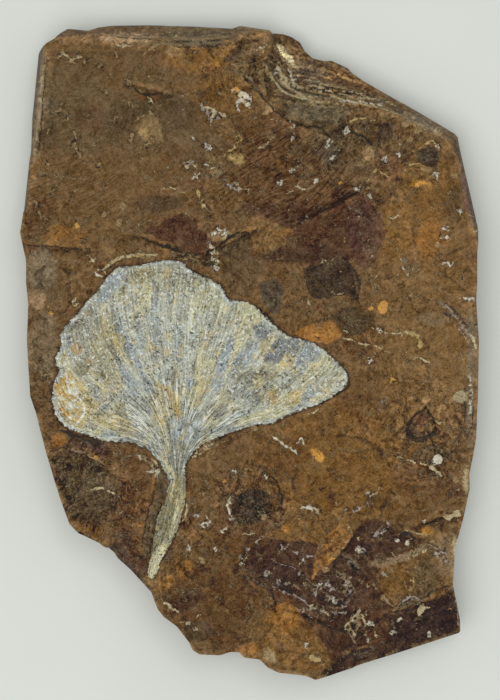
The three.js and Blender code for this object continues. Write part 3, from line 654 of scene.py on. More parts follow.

# Small crystals and other pale spots, those of the white groups partly painted glints on tiny
# crystals: colour, and then x, y and width in pixels.
CRYSTALS = {
    "white, upper left": (TAN, [
        (46, 60, 2), (62.7, 51.6, 2.5), (85, 61.7, 2), (100, 66.5, 2), (117, 57.4, 3.4),
        (128, 81.4, 2.4), (106.6, 91.4, 2), (129, 103, 3), (115, 119.5, 2), (151.7, 113.3, 2.2),
        (183, 96, 2), (201.5, 68, 2), (62, 104, 1.8), (44.5, 111, 1.8), (58.6, 111, 2),
        (68, 118.6, 2), (48.5, 131, 2), (75, 133.5, 2.6), (74, 144, 2), (76.4, 147, 3.4),
        (47.4, 164, 2), (79, 155, 2.6), (98.4, 165, 2), (36.5, 204, 2.2), (41, 216, 2),
        (45.6, 219, 2)]),
    "white, middle": (WHITE, [
        (243, 94, 4.5), (241, 101, 4), (248, 104, 4), (238, 108, 2), (209, 148, 3.4),
        (194, 138, 2), (206.5, 165, 2.2), (195.7, 177.5, 2), (210, 247, 2), (215, 268, 2),
        (213, 234, 2), (220, 231, 1.8), (226, 236, 2)]),
    "white, upper right": (WHITE, [
        (276, 70, 2.6), (329, 141, 2), (316.3, 180, 3.6), (281, 183, 3), (293, 170, 2),
        (356, 188, 2.4), (369, 196.4, 2), (385.7, 160.5, 2.2), (399.6, 155.7, 2),
        (438.8, 148, 2), (460, 211.5, 2), (446, 230, 2), (448, 237, 2), (477, 230.5, 2),
        (326, 147, 1.8), (334, 156, 1.8), (347.5, 129, 3), (437, 176, 2), (294, 126, 2),
        (293, 138, 2)]),
    "white, lower": (WHITE, [
        (264.7, 476.6, 2), (423.7, 520.5, 2.4), (333, 600, 3), (358.7, 549, 2.6),
        (371, 625, 3.4), (393, 633.7, 2.4), (401, 619, 2), (431, 637.6, 2.4), (368.5, 643, 2),
        (139.6, 457.7, 2.6), (151, 472, 2.4), (234, 471, 2.2), (231, 519, 2), (197, 515, 2),
        (202.7, 524, 1.8), (207.5, 522.7, 1.8), (222, 532, 2.4), (216, 549.5, 2.4),
        (189, 549.5, 2.2), (241, 563, 2), (370, 362, 2.6), (380, 331, 2), (306, 646, 2.4),
        (397.7, 540.8, 3.6), (407.5, 542.4, 3.6), (303, 560, 2.2), (320, 584, 2.2)]),
    "dome": (LILAC, [
        (283, 547, 3), (296, 553, 2.2), (310, 556, 3), (278, 581, 2.4), (266, 575, 3),
        (299, 573, 2.2), (287, 584, 2.6), (318, 586, 3), (315, 593, 2.6), (327, 584, 2.4),
        (331, 590, 2), (346, 584, 3), (350, 592, 2.4), (334, 600, 3), (344, 606, 2.2),
        (376, 534, 3.2), (383, 532, 3), (388, 524, 3), (362, 549, 2.4), (443, 553, 3),
        (446, 561, 3), (436, 553, 3), (384, 573, 2.2), (203, 108, 3.2), (208, 113, 3.2),
        (214, 112, 3.4), (218, 118, 3), (211, 120, 3), (206, 146, 3), (190, 164, 3),
        (230, 186, 3), (236, 190, 2.4), (224, 180, 2.4)]),
    "pebble": (CREAM * 0.7, [(463, 397.5, 11)]),
    "gold": (GOLD, [
        (237, 88, 4), (340, 183, 2.4), (224.7, 481.6, 2.2), (96, 457, 3.4), (50.6, 312.7, 2.6),
        (382.7, 309, 8.5), (372.4, 308.4, 4), (393, 380, 3.4), (317, 334, 4), (76.6, 225, 4)]),
    "seeds, left": (TAN * 0.85, [(123, 207, 6), (119, 221, 6), (104, 215, 4)]),
    "tan": (TAN, [
        (404, 125, 6), (417, 131, 6), (410.7, 138.3, 4.4), (255, 428, 5),
        (202.7, 561.5, 5.5), (453, 175, 5), (438, 245.5, 4.5), (324.5, 570, 5),
        (147, 145, 3.4), (263.6, 518, 5), (456, 480.6, 5)]),
}

# Cracks and steps, painted dark with shade in them: width in pixels, depth and how much lower the
# rock is on the right of the line's run, both in millimetres, and the pixels they run through.
CRACKS = {
    "over the leaf": (3, 0.4, 0.5, [(206, 254), (219, 247), (230, 237), (250, 232)]),
    "under the maroon wedge": (3, 0.3, 0.3, [
        (141, 237), (159, 245), (176, 250), (192, 255), (206, 254)]),
    "across the left edge": (1.6, 0.1, 0.2, [(24, 245), (60, 247), (93, 250)]),
    "in the hollow": (3, 0.3, 0.4, [(133, 84), (139, 91), (151, 94), (164, 93)]),
    "shelf step": (2.4, 0.2, -0.3, [(244, 78), (258, 91), (275, 110), (285, 119)]),
    "slope step": (2, 0.2, -0.3, [(285, 119), (304, 125), (321, 129), (332, 139)]),
    "shelf edge": (2.4, 0.2, 0, [(264.7, 58), (265, 78), (268, 93)]),
    "inside the left bevel": (1.4, 0.1, 0.2, [(47, 60), (43, 100), (39, 152)]),
    "upper right": (2.6, 0.3, 0.3, [(345, 126), (351, 131), (363, 137), (373, 147)]),
    "long one, upper right": (2.6, 0.3, 0.5, [
        (362, 190), (354, 194), (340, 201), (333, 206), (320, 211), (310, 219)]),
    "right of the chocolate patch": (2, 0.2, 0.3, [(350, 263), (359, 280), (358, 300)]),
    "left of the chocolate patch": (2, 0.1, -0.2, [(304, 270), (310, 293), (321, 299)]),
    "red pit, left": (3.4, 0.4, 0.3, [(407, 434), (411, 420), (426, 407)]),
    "red pit, right": (2.6, 0.3, 0.3, [(426, 407), (431, 415), (437, 424)]),
    "right low": (2.8, 0.35, 0.5, [(422, 525), (435, 521), (453, 515)]),
    "squiggle": (2.8, 0.3, 0.3, [(269, 475), (277, 484), (281, 494), (282, 506)]),
    "short, low": (2.2, 0.2, 0.2, [(246.7, 550.5), (240, 565)]),
    "round the maroon": (2.4, 0.3, 0.3, [(243, 575), (256, 582), (272, 592), (276, 611)]),
    "right of the tongue": (2.4, 0.2, -0.4, [(353, 536), (346, 548), (336, 558), (332, 566)]),
    "lower right step": (2, 0.2, 0, [
        (451, 585), (435, 591), (422, 599), (404, 610), (386, 615), (366, 632), (340, 652)]),
    "hollow in the maroon": (4, 0.35, 0.4, [(399, 536), (407, 533), (415, 538)]),
    "blue-black wedge": (4, 0.3, 0.3, [(340, 556), (350, 562), (358, 570)]),
    "under the maroon lip": (2.4, 0.25, 0.4, [(300, 612), (316, 622), (338, 630), (360, 634)]),
    "groove, left side": (1.6, 0.2, 0, [(158, 463), (155, 490), (146, 521), (142, 547)]),
    # The last three run along the leaf's margin: shallow grooves painted dark as its contact
    # shadow.
    "right shoulder of the leaf": (3, 0.3, 0, [(251, 303), (262, 311), (271, 320), (279, 330)]),
    "tip of the wing": (3, 0.2, 0, [(342, 366), (349, 378), (347, 388), (334, 396), (312, 407)]),
    "lobe contact": (4, 0.2, 0, [(60, 430), (75, 436), (100, 444)]),
}

# How much the face is broken into rough flakes, from 0, smooth: centre and reach.
ROUGH_PLACES = {
    "upper left": (0.08, (110, 130), (95, 95)),
    "right": (0.25, (430, 280), (50, 120)),
    "right of the petiole": (0.3, (320, 480), (70, 40)),
    "maroon ground": (0.4, (330, 575), (90, 60)),
    "lower right corner": (0.25, (430, 620), (40, 30)),
    "bottom": (0.35, (290, 640), (50, 40)),
    "worn patch": (0.9, (88, 490), (45, 45)),
    "lower left": (0.6, (150, 550), (60, 50)),
    "upper right": (0.5, (360, 150), (80, 60)),
    "top right": (0.6, (260, 60), (50, 40)),
    "right pits": (0.7, (425, 430), (40, 50)),
    "over the leaf": (0.35, (200, 240), (60, 20)),
    "grey hollow": (0.7, (255, 500), (40, 35)),
    "middle": (0.3, (330, 300), (70, 50)),
}

# Colours of the leaf's own stains, in the same form as the rock's.
LEAF_PALE = tone(185, 187, 171)
LEAF_BLUE = tone(153, 162, 166)
LEAF_GREY = tone(134, 132, 118)
LEAF_YELLOW = tone(206, 184, 122)
LEAF_ORANGE = tone(196, 152, 78)
LEAF_CREAM = tone(202, 195, 157)
LEAF_OLIVE = tone(122, 114, 80)
LEAF_STEM = tone(140, 127, 92)
LEAF_VIOLET = tone(112, 116, 120)
LEAF_RIM = tone(188, 194, 188)
LEAF_SHADE = tone(96, 97, 90)
LEAF_DARK = tone(38, 38, 36)
LEAF_WHITE = tone(236, 237, 228)
LEAF_STAINS = {
    "yellow lobe": (LEAF_YELLOW, 0.6, 10, (74, 404), (18, 26), 0),
    "ochre spot, lobe top": (LEAF_YELLOW, 0.95, 4, (67, 382), (7, 8), 0),
    "ochre spot, lobe middle": (LEAF_YELLOW, 0.6, 5, (91, 404), (7, 9), 0),
    "ochre along the lower margin": (LEAF_YELLOW, 0.6, 8, (116, 424), (24, 9), -25),
    "tan-orange, left 1": (LEAF_ORANGE, 0.9, 4, (76, 349), (6, 5), 0),
    "tan-orange, left 2": (LEAF_ORANGE, 0.5, 4, (89, 361), (5, 4), -30),
    "yellow, upper left 1": (LEAF_YELLOW, 0.7, 5, (105, 330), (7, 8), 0),
    "yellow, upper left 2": (LEAF_YELLOW, 0.6, 5, (117, 342), (6, 9), 0),
    "grey left edge": (LEAF_GREY, 0.95, 4, (75, 325), (11, 7), 25),
    "grey left": (LEAF_GREY, 0.3, 10, (92, 335), (26, 45), 20),
    "white right shoulder": (LEAF_CREAM * 1.05, 0.5, 10, (238, 322), (24, 20), -35),
    "white right shoulder, blue": (LEAF_PALE * 1.15, 0.6, 8, (218, 336), (14, 14), 0),
    "dark spots, top": (LEAF_STEM, 0.6, 5, (135, 275), (22, 9), 10),
    "brownish left": (LEAF_OLIVE, 0.65, 5, (82, 370), (8, 7), 0),
    "olive streak": (LEAF_OLIVE, 0.95, 3, (105, 377), (3, 10), 35),
    "orange streak, middle": (LEAF_ORANGE, 0.6, 2.5, (150, 345), (2, 12), 15),
    "orange streak, low left": (LEAF_ORANGE, 0.6, 3, (169, 392), (3, 8), 20),
    "orange streak, low right": (LEAF_ORANGE, 0.97, 3, (177, 411), (3, 9), 5),
    "yellow fan, low": (LEAF_YELLOW, 0.5, 8, (165, 405), (16, 22), 0),
    "cream top": (LEAF_STEM, 0.4, 10, (165, 275), (45, 14), 0),
    "pale upper middle": (LEAF_PALE * 1.15, 0.3, 12, (190, 332), (28, 28), 0),
    "blue band, right wing": (LEAF_VIOLET, 0.75, 5, (266, 344), (7, 24), 20),
    "dark band, right wing": (LEAF_OLIVE, 0.65, 4, (258, 376), (26, 4), 0),
    "grey wing middle": (LEAF_GREY, 0.35, 10, (250, 385), (35, 15), 20),
    "violet band, right": (LEAF_VIOLET, 0.9, 6, (282, 350), (20, 10), 25),
    "dark specks, wing low": (LEAF_VIOLET, 0.4, 4, (245, 394), (13, 5), 0),
    "violet, wing low": (LEAF_VIOLET, 0.6, 5, (220, 411), (10, 7), 25),
    "yellow, wing middle": (LEAF_YELLOW, 0.5, 5, (288, 361), (8, 7), 0),
    "brown, wing low": (LEAF_ORANGE * 0.8, 0.7, 3, (273, 398), (5, 6), 0),
    "cream, lower margin of the wing": (LEAF_CREAM, 0.9, 5, (262, 417), (32, 6), 15),
    "cream wing end": (LEAF_CREAM, 0.5, 8, (325, 376), (18, 14), 0),
    "yellow wing low": (LEAF_YELLOW * 1.1, 0.85, 5, (294, 399), (9, 8), 20),
    "yellow right margin": (LEAF_CREAM, 0.9, 6, (250, 314), (14, 11), -40),
    "blue margin, upper left": (LEAF_BLUE * 1.1, 0.85, 4, (112, 285), (22, 6), 48),
    "blue middle": (LEAF_BLUE, 0.45, 8, (150, 340), (12, 32), 0),
    "blue low": (LEAF_BLUE, 0.5, 10, (185, 430), (20, 18), 0),
    "dark low": (LEAF_GREY, 0.7, 8, (178, 455), (10, 14), 0),
    "pinkish spot": (LEAF_STEM, 0.8, 3, (123, 291), (4, 5), 0),
    "petiole": (LEAF_STEM, 0.9, 6, (166, 530), (16, 52), -15),
    "top of the petiole": (LEAF_OLIVE, 0.7, 6, (182, 487), (9, 24), 10),
    "left part": (LEAF_STEM, 0.3, 14, (96, 370), (26, 62), 12),
    "cream, right of the top": (LEAF_CREAM, 0.5, 8, (206, 300), (18, 14), 30),
    "grey, upper middle": (LEAF_GREY, 0.35, 5, (184, 312), (9, 8), 0),
    "grey, right of the middle": (LEAF_GREY, 0.35, 6, (207, 377), (15, 9), 0),
    "violet, wing end": (LEAF_VIOLET, 0.3, 6, (303, 358), (17, 9), 20),
    "white, middle": (LEAF_PALE * 1.15, 0.5, 4, (152, 368), (7, 9), 10),
}


# Reading the frame ----------------------------------------------------------------------

def cad_surface(node):
    """Corner points and triangles of a CAD node."""
    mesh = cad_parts[node].data
    mesh.calc_loop_triangles()
    points = np.array([vertex.co for vertex in mesh.vertices]) / MM
    triangles = [tuple(triangle.vertices) for triangle in mesh.loop_triangles]
    return points, triangles


def search_tree(points, triangles):
    return BVHTree.FromPolygons([Vector(p) for p in points], triangles)


def upper_rim(points, triangles):
    """The edge of the upward faces, clockwise as seen from above."""
    def key(index):
        return tuple(np.round(points[index], 3))

    edges = set()
    for a, b, c in triangles:
        normal = np.cross(points[b] - points[a], points[c] - points[a])
        if normal[2] > 0.5 * np.linalg.norm(normal):
            edges |= {(key(a), key(b)), (key(b), key(c)), (key(c), key(a))}
    following = {end: start for start, end in edges if (end, start) not in edges}
    loop = [next(iter(sorted(following)))]
    while following.get(loop[-1]) not in (None, loop[0]):
        loop.append(following[loop[-1]])
    return np.array(loop)


slab_tree = search_tree(*cad_surface(SLAB))
leaf_points, leaf_triangles = cad_surface(LEAF)
leaf_tree = search_tree(leaf_points, leaf_triangles)
leaf_rim = upper_rim(leaf_points, leaf_triangles)[:, :2]


def height_at(tree, x, y):
    found = tree.ray_cast(Vector((x, y, SKY)), Vector((0, 0, -1)))[0]
    return found.z if found else math.nan


def wall_radius(angle, height):
    """Distance of the slab's wall from the middle, in one direction and at one height."""
    outward = Vector((math.cos(angle), math.sin(angle), 0))
    start = outward * OUTSIDE + Vector((0, 0, height))
    found = slab_tree.ray_cast(start, -outward)[0]
    return found.to_2d().length if found else 0


# Every ray from the middle crosses the slab's outline once, so it is a radius by angle.
PROBES = np.linspace(0.05, FACE_LEVEL, 24)  # heights at which the wall is looked for
JUST_INSIDE = 0.999
rim_angles = np.linspace(-math.pi, math.pi, RIM_STEPS, endpoint=False)
rim_headings = headings(rim_angles)
rim_radius = np.array([max(wall_radius(a, z) for z in PROBES) for a in rim_angles])
rim_xy = rim_radius[:, None] * rim_headings
rim_height = np.array([height_at(slab_tree, *(JUST_INSIDE * point)) for point in rim_xy])


def depth_in_slab(points):
    """Distance from the slab's outline, measured towards the middle."""
    angle = np.arctan2(points[:, 1], points[:, 0])
    radius = np.interp(angle, rim_angles, rim_radius, period=2 * math.pi)
    return radius - np.hypot(points[:, 0], points[:, 1])


class HeightGrid:
    """The bedding face as if the leaf and its pocket weren't there, from rays on a grid."""

    FINE = 0.5  # in millimetres, rounds the CAD's sharp edges a little
    WIDE = 1.8  # hides the flat facets of the CAD's swells
    BORDER = 2  # round the slab
    ON_LEAF = 0.05  # this far in from the leaf's outline, the height is read on the leaf
    ON_ROCK = 0.5  # and this far out from it, past the pocket, on the rock

    def __init__(self):
        self.low = slab_low[:2] - self.BORDER
        size = np.ceil((slab_high[:2] + self.BORDER - self.low) / GRID).astype(int)
        xs, ys = (low + GRID * np.arange(count) for low, count in zip(self.low, size))
        spots = np.array([(x, y) for x in xs for y in ys])
        depth = np.full(len(spots), -OUTSIDE, float)
        close = near(spots, leaf_rim.min(0), leaf_rim.max(0), self.BORDER)
        depth[close] = depth_in(leaf_rim, spots[close])
        heights = np.full(len(spots), math.nan)
        for i, (x, y) in enumerate(spots):
            if depth[i] > self.ON_LEAF:
                heights[i] = height_at(leaf_tree, x, y) - LEAF_PROUD
            elif depth[i] < -self.ON_ROCK:
                heights[i] = height_at(slab_tree, x, y)
        raw = heights.reshape(size)
        known = ~np.isnan(raw)
        fine = self.filled(raw, known, self.FINE)
        wide = self.filled(raw, known, self.WIDE)
        sharp = smooth(0.06, 0.3, np.abs(fine - wide))
        self.values = wide + (fine - wide) * sharp

    @staticmethod
    def filled(raw, known, reach):
        """The known values smoothed by a gaussian, which also fills the gaps between them."""
        weight = blurred(known.astype(float), reach / GRID)
        total = blurred(np.where(known, raw, 0), reach / GRID)
        return np.where(weight > 1e-4, total / np.maximum(weight, 1e-4), FACE_LEVEL)

    def at(self, points):
        """Height at any points, from the four samples round each."""
        place_in = (points - self.low) / GRID
        corner = np.clip(np.floor(place_in).astype(int), 0, np.array(self.values.shape) - 2)
        x, y = (place_in - corner).T
        i, j = corner.T
        v = self.values
        lower = v[i, j] * (1 - x) + v[i + 1, j] * x
        upper = v[i, j + 1] * (1 - x) + v[i + 1, j + 1] * x
        return lower * (1 - y) + upper * y


bedding = HeightGrid()


# Marks: mineral lines, crystals and cracks on the rock -------------------------------------

class Mark:
    """A thin mark along a line, with a half width at each of the line's points."""

    def __init__(self, line, widths, colour=None, depth=0, drop=0):
        self.line = line
        self.widths = widths
        self.colour = colour
        self.depth = depth
        self.drop = drop

    def near(self, points, margin):
        return near(points, self.line.min(0), self.line.max(0), margin + max(self.widths))

    def depth_at(self, points):
        """How deep each point is in the mark, or minus its distance from it."""
        deepest = np.full(len(points), -OUTSIDE, float)
        ends = zip(self.line, self.line[1:], self.widths, self.widths[1:])
        for start, end, width, next_width in ends:
            share, distance = from_piece(start, end, points)
            deepest = np.maximum(deepest, width + (next_width - width) * share - distance)
        return deepest

    def side_of(self, points):
        """1 to the right of the line's run from end to end, -1 to the left."""
        run = self.line[-1] - self.line[0]
        away = points - self.line[0]
        return np.sign(run[1] * away[:, 0] - run[0] * away[:, 1])


def wobbly(pixels, seed, amount, size):
    """A given line with the small wanderings of a natural one."""
    return warped(curve_through(places(pixels), CURVE_STEP), amount, size, seed)


def ragged_widths(line, width, seed, least=0.5, change=1.5):
    """Half widths that swell and pinch out along a line, thin at both ends."""
    swell = least + change * fractal(line, 0.8, 3, seed)
    share = np.linspace(0, 1, len(line))
    return width / 2 * swell * (0.35 + 0.65 * np.sin(math.pi * share) ** 0.6)


def splinter(at, length, width, colour, least=0.3):
    """A short bent fleck."""
    heading = rng.uniform(0, 2 * math.pi)
    bend = rng.normal(0, 1.2)
    steps = headings(heading + np.linspace(0, bend, 3)) * length / 3
    line = at + np.vstack(((0, 0), np.cumsum(steps, axis=0)))
    return Mark(line, width / 2 * rng.uniform(least, 1.2, len(line)), colour)


def curled(at, length, width, colour):
    """A thin line that curls round, as the rim of a small crystal shows."""
    steps = 6
    heading = rng.uniform(0, 2 * math.pi)
    bend = rng.uniform(-4.5, 4.5)
    run = headings(heading + bend * np.linspace(0, 1, steps)) * length / steps
    line = np.cumsum(run, axis=0)
    line += at - line.mean(axis=0)
    return Mark(line, width / 2 * rng.uniform(0.6, 1.3, steps), colour)


def flecks_and_painted_shadows(mark, count):
    """Tiny flecks that lie about a mark, every other one a dark splinter of painted shadow."""
    made = []
    for i in range(count):
        at = mark.line[rng.integers(len(mark.line))] + rng.normal(0, 0.4, 2)
        # Every other fleck is painted shadow
        colour = mark.colour if i % 2 else PITCH
        made.append(splinter(at, rng.uniform(0.1, 0.7), rng.uniform(0.1, 0.22), colour))
    return made


SOLID_WIDTH = 3.5  # in pixels: wider pale spots are solid, smaller ones are curls
CURL_WIDTH = 0.2
SCATTERED = 1300
CRACK_SEEDS = 200  # the first seed of each kind of line; those of the mineral lines start at 0
BUNDLE_SEEDS = 300
PATCH_SEEDS = 400


def placed_crusts():
    """The mineral lines and crystals of the tables, the white crystals partly painted glints, each
    with tiny flecks and dark splinters of painted shadow about it.
    """
    marks = []
    for seed, (colour, width, pixels) in enumerate(CRUST_LINES.values()):
        line = wobbly(pixels, seed, 0.3, 0.9)
        marks.append(Mark(line, ragged_widths(line, width * PIXEL, seed), colour))
    # The white crystals are partly painted glints
    for colour, spots in CRYSTALS.values():
        for x, y, width in spots:
            wide = width * PIXEL
            if width < SOLID_WIDTH:
                length = wide * rng.uniform(1.8, 3)
                marks.append(curled(place(x, y), length, CURL_WIDTH, colour))
                marks.append(splinter(place(x, y), wide * 0.4, wide * 0.4, colour))
            else:
                marks.append(splinter(place(x, y), wide * 0.5, wide, colour, 0.8))
    return marks + [fleck for mark in marks for fleck in flecks_and_painted_shadows(mark, rng.integers(2, 7))]


def bundled_crusts():
    """Thin lines that run side by side, each along a part of its bundle."""
    marks = []
    for seed, (colours, count, spread, pixels) in enumerate(BUNDLES.values()):
        middle = curve_through(places(pixels), CURVE_STEP)
        run = np.gradient(middle, axis=0)
        sideways = np.column_stack((-run[:, 1], run[:, 0])) / np.hypot(*run.T)[:, None]
        for i in range(count):
            first = rng.uniform(0, 0.7)
            last = min(1, first + rng.uniform(0.15, 0.6))
            part = slice(int(first * len(middle)), int(last * len(middle)))
            offset = spread * PIXEL * rng.uniform(-0.5, 0.5)
            line = middle[part] + offset * sideways[part]
            line = warped(line, 0.2, 1.5, BUNDLE_SEEDS + seed)
            width = rng.uniform(0.7, 2.2) * PIXEL
            marks.append(Mark(line, ragged_widths(line, width, i), colours[i % len(colours)]))
    return marks


def scattered_crusts():
    """Small flecks that lie all over the rock, in drifts."""
    marks = []
    tones = (CREAM, TAN, TAN, TAN, GREY, PINK, PITCH, PITCH, PITCH, PITCH)
    while len(marks) < SCATTERED:
        at = rng.uniform(slab_low[:2], slab_high[:2])
        patchiness = fractal(at[None], 9, 3, 31)[0]
        colour = tones[rng.integers(len(tones))]
        length = 0.1 + 1.5 * rng.uniform() ** 3
        width = rng.uniform(0.08, 0.24)
        if depth_in_slab(at[None])[0] > 0.6 and rng.uniform(-0.5, 0.4) < patchiness:
            marks.append(splinter(at, length, width, colour))
    return marks


def placed_cracks():
    """The cracks and steps of the table."""
    marks = []
    for seed, (width, depth, drop, pixels) in enumerate(CRACKS.values(), CRACK_SEEDS):
        line = wobbly(pixels, seed, 0.35, 1.3)
        widths = ragged_widths(line, width * PIXEL, seed, 0.7, 1.0)
        marks.append(Mark(line, widths, depth=depth, drop=drop))
    return marks


FAR = 0.8  # pale marks and cracks are only measured this near
DROP_REACH = 6  # how far the lower side of a crack comes back up


def crust_field(points, marks):
    """How deep each point is in the nearest pale mark, and that mark's colour."""
    depth = np.full(len(points), -FAR)
    colours = np.tile(CREAM, (len(points), 1))
    for mark in marks:
        close = mark.near(points, FAR)
        if len(close):
            found = mark.depth_at(points[close])
            better = found > depth[close]
            depth[close[better]] = found[better]
            colours[close[better]] = mark.colour
    return depth, colours


def crack_field(points, marks):
    """How deep each point is in the nearest crack, and how far the rock sinks there."""
    depth = np.full(len(points), -FAR)
    sunk = np.zeros(len(points))
    for mark in marks:
        close = mark.near(points, DROP_REACH)
        if len(close):
            found = mark.depth_at(points[close])
            depth[close] = np.maximum(depth[close], found)
            cut = mark.depth * smooth(-0.3, max(mark.widths), found)
            fade = 1 - smooth(0, DROP_REACH * 0.8, -found)
            lower = mark.drop * fade * fade * smooth(-0.2, 0.2, mark.side_of(points[close]))
            sunk[close] += cut + lower
    return np.maximum(depth, -FAR), sunk


def placed_patches():
    """Colour, strength and closed natural outline of each patch."""
    return [(colour, strength, wobbly(pixels + pixels[:1], seed, 0.6, 2)[:-1])
            for seed, (colour, strength, pixels) in enumerate(PATCHES.values(), PATCH_SEEDS)]


EDGE = 0.08  # from a patch's outline to the points on either side that keep it sharp

crusts = placed_crusts() + bundled_crusts() + scattered_crusts()
cracks = placed_cracks()
patches = placed_patches()


# Painting -------------------------------------------------------------------------------

def stain_weight(points, centre, reach, turn, soft):
    """1 in the middle of an oval stain, 0 outside it; all lengths in pixels but points."""
    away = (points - place(*centre)) / PIXEL
    across, along = on_turned_axes(away, math.radians(turn))
    radius = np.hypot(across / reach[0], along / reach[1])
    edge = 0.7 * soft / min(reach)
    return 1 - smooth(1 - edge / 2, 1 + edge / 2, radius)


def lay(colours, colour, weight):
    """Puts a colour over the others, by weight."""
    colours += (colour - colours) * weight[:, None]


def lay_on(colours, chosen, colour, weight):
    """Puts a colour over those of the chosen points, by weight."""
    part = colours[chosen]
    lay(part, colour, weight)
    colours[chosen] = part


WIDE_REACH = 14  # in pixels: smaller stains have a finer edge than larger ones


def stained(colours, points, sway, stains):
    """Paints stains, whose edges sway about as far as the stain is wide."""
    for colour, strength, soft, centre, reach, turn in stains.values():
        span = (max(reach) + soft) * PIXEL
        middle = place(*centre)
        close = near(points, middle, middle, span)
        moved = points[close] + sway[close] * min(1, min(reach) / WIDE_REACH)
        weight = strength * stain_weight(moved, centre, reach, turn, soft)
        lay_on(colours, close, colour, weight)


def patched(colours, points):
    """Paints the patches, each with a sharp edge."""
    for colour, strength, outline in patches:
        close = near(points, outline.min(0), outline.max(0), 1)
        weight = strength * smooth(-EDGE, EDGE, depth_in(outline, points[close]))
        lay_on(colours, close, colour, weight)


def ground_colours(points):
    """The shale's own browns."""
    colours = np.tile(BROWN, (len(points), 1))
    lay(colours, OLIVE, 0.8 * smooth(-0.1, 0.5, fractal(points, 16, 4, 1)))
    lay(colours, RUST, 0.6 * smooth(0.05, 0.5, fractal(points, 9, 4, 2)))
    lay(colours, CHESTNUT, 0.7 * smooth(0.15, 0.6, fractal(points, 7, 4, 3)))
    return colours


def mottled(colours, points, rough):
    """Small spots of lighter and darker shale."""
    lay(colours, UMBER * 0.4, (0.2 + 0.3 * rough) * smooth(0.1, 0.5, fractal(points, 3.2, 5, 4)))
    lay(colours, TAN, (0.05 + 0.15 * rough) * smooth(0.2, 0.6, fractal(points, 1.6, 4, 6)))
    lay(colours, MOSS, 0.15 * smooth(0.1, 0.4, fractal(points, 3, 4, 11)))


def strata(points, seed):
    """Pale and dark layers along the bedding: noise that changes fast upwards."""
    return fractal(points / (24, 24, 0.9), 1, 4, seed)


def rock_colours(points):
    """The tones of the stains, whose edges follow the rock's flakes."""
    colours = ground_colours(points)
    way = shards(points, 2.4, 17)[1]
    sway = warped(warped(points, 0.9, 4, 8), 0.3, 0.9, 18) - points - 0.25 * way
    stained(colours, points, sway, GROUNDS)
    patched(colours, points)
    stained(colours, points, sway, STAINS)
    return colours


EVENED = 40  # rounds of easing over which the average colour is kept
STEEP_PAINTED_LIGHT = 0.5  # painted light: how much paler the steep places of the face are made
SLOPE_STEP = 0.5  # over which the steepness is measured


def weathered(colours, points, base, height, rough, pairs):
    """Mottling, layers, painted shade in the hollows with ridges made paler by wear and painted
    highlight, which leave the average colour as it is, and then painted light that makes the steep
    places paler."""
    before = [eased(channel, pairs, EVENED) for channel in colours.T]
    mottled(colours, points, rough)
    layered(colours, points, base)
    worn(colours, height, pairs, points)
    after = [eased(channel, pairs, EVENED) for channel in colours.T]
    colours *= np.column_stack(before) / np.column_stack(after)
    # Painted light: the steep places of the face are made paler
    colours *= (1 + STEEP_PAINTED_LIGHT * smooth(0.15, 0.9, steepness(points)))[:, None]


def steepness(points):
    """Rise over run of the bedding face."""
    rises = [bedding.at(points + step) - bedding.at(points - step)
             for step in ((SLOPE_STEP, 0), (0, SLOPE_STEP))]
    return np.hypot(*rises) / (2 * SLOPE_STEP)


def edged(colours, points):
    """The pale wear of the outline, the groove's lighter stone, and a painted contact shadow on the
    rock along the leaf's margin.
    """
    patchy = smooth(-0.25, 0.25, fractal(points, 3, 4, 30))
    lay(colours, TAN, 0.6 * patchy * (1 - smooth(0.1, 1.1, depth_in_slab(points))))
    groove = places(GROOVE)
    weight = smooth(-0.1, 0.3, depth_in(groove, warped(points, 0.2, 1.5, 10)))
    streaks = fractal(points * (1, 0.2), 0.8, 3, 33)
    lay(colours, GROOVE_GREY, 0.9 * weight)
    lay(colours, BLACK, weight * smooth(0, 0.5, streaks))
    # Painted contact shadow on the rock round the leaf
    contact = reach_to(closed(leaf_rim), points)
    patchy = smooth(-0.5, 0.1, fractal(points, 2.5, 4, 34))
    lay(colours, PITCH, 0.9 * patchy * (1 - smooth(0.15, 0.75, contact)))


def broken_corner(points):
    """1 at the upper right, where the layers have broken off the face in steps."""
    return stain_weight(points, *BROKEN_CORNER)


def layered(colours, points, height):
    """Edges of the shale's layers, where the upper right of its face has broken away."""
    broken = smooth(0.8, 2.2, FACE_LEVEL - height) * broken_corner(points)
    layers = strata(np.column_stack((warped(points, 1.5, 6, 28), height)), 26)
    lay(colours, CHOCOLATE, 0.6 * broken * smooth(0.05, 0.3, -layers))
    lay(colours, TAN, 0.6 * broken * smooth(0.15, 0.35, layers))


def worn(colours, height, pairs, points):
    """Painted shade in the hollows, and paler ridges that are part edge wear and part painted
    highlight, from how the surface bends.
    """
    patchy = smooth(-0.3, 0.4, fractal(points, 2.5, 3, 29))
    for rounds, reach, ridge_light_and_wear_gain in ((3, 0.05, 0.45), (25, 0.16, 0.2)):
        hollow = eased(height, pairs, rounds) - height
        # Painted shade: darker in the hollows
        lay(colours, PITCH, 0.5 * smooth(0.15 * reach, reach, hollow))
        # Paler ridges: part edge wear, part painted highlight
        ridge = smooth(0.15 * reach, 1.2 * reach, -hollow) * patchy
        colours *= (1 + ridge_light_and_wear_gain * ridge)[:, None]


def eased(values, pairs, rounds):
    """Values of the points evened out over the edges between them."""
    size = len(values)
    count = np.maximum(np.bincount(pairs.ravel(), minlength=size), 1)
    first, second = pairs.T
    for _ in range(rounds):
        total = np.bincount(first, values[second], size)
        total += np.bincount(second, values[first], size)
        values = 0.5 * values + 0.5 * total / count
    return values


# Relief ---------------------------------------------------------------------------------

LEDGE = 0.7  # height of the steps where bedding layers have broken off
SHARD_RISE = 0.65  # between the highest and the lowest flakes of the roughest places
GROOVE_DEPTH = 0.55

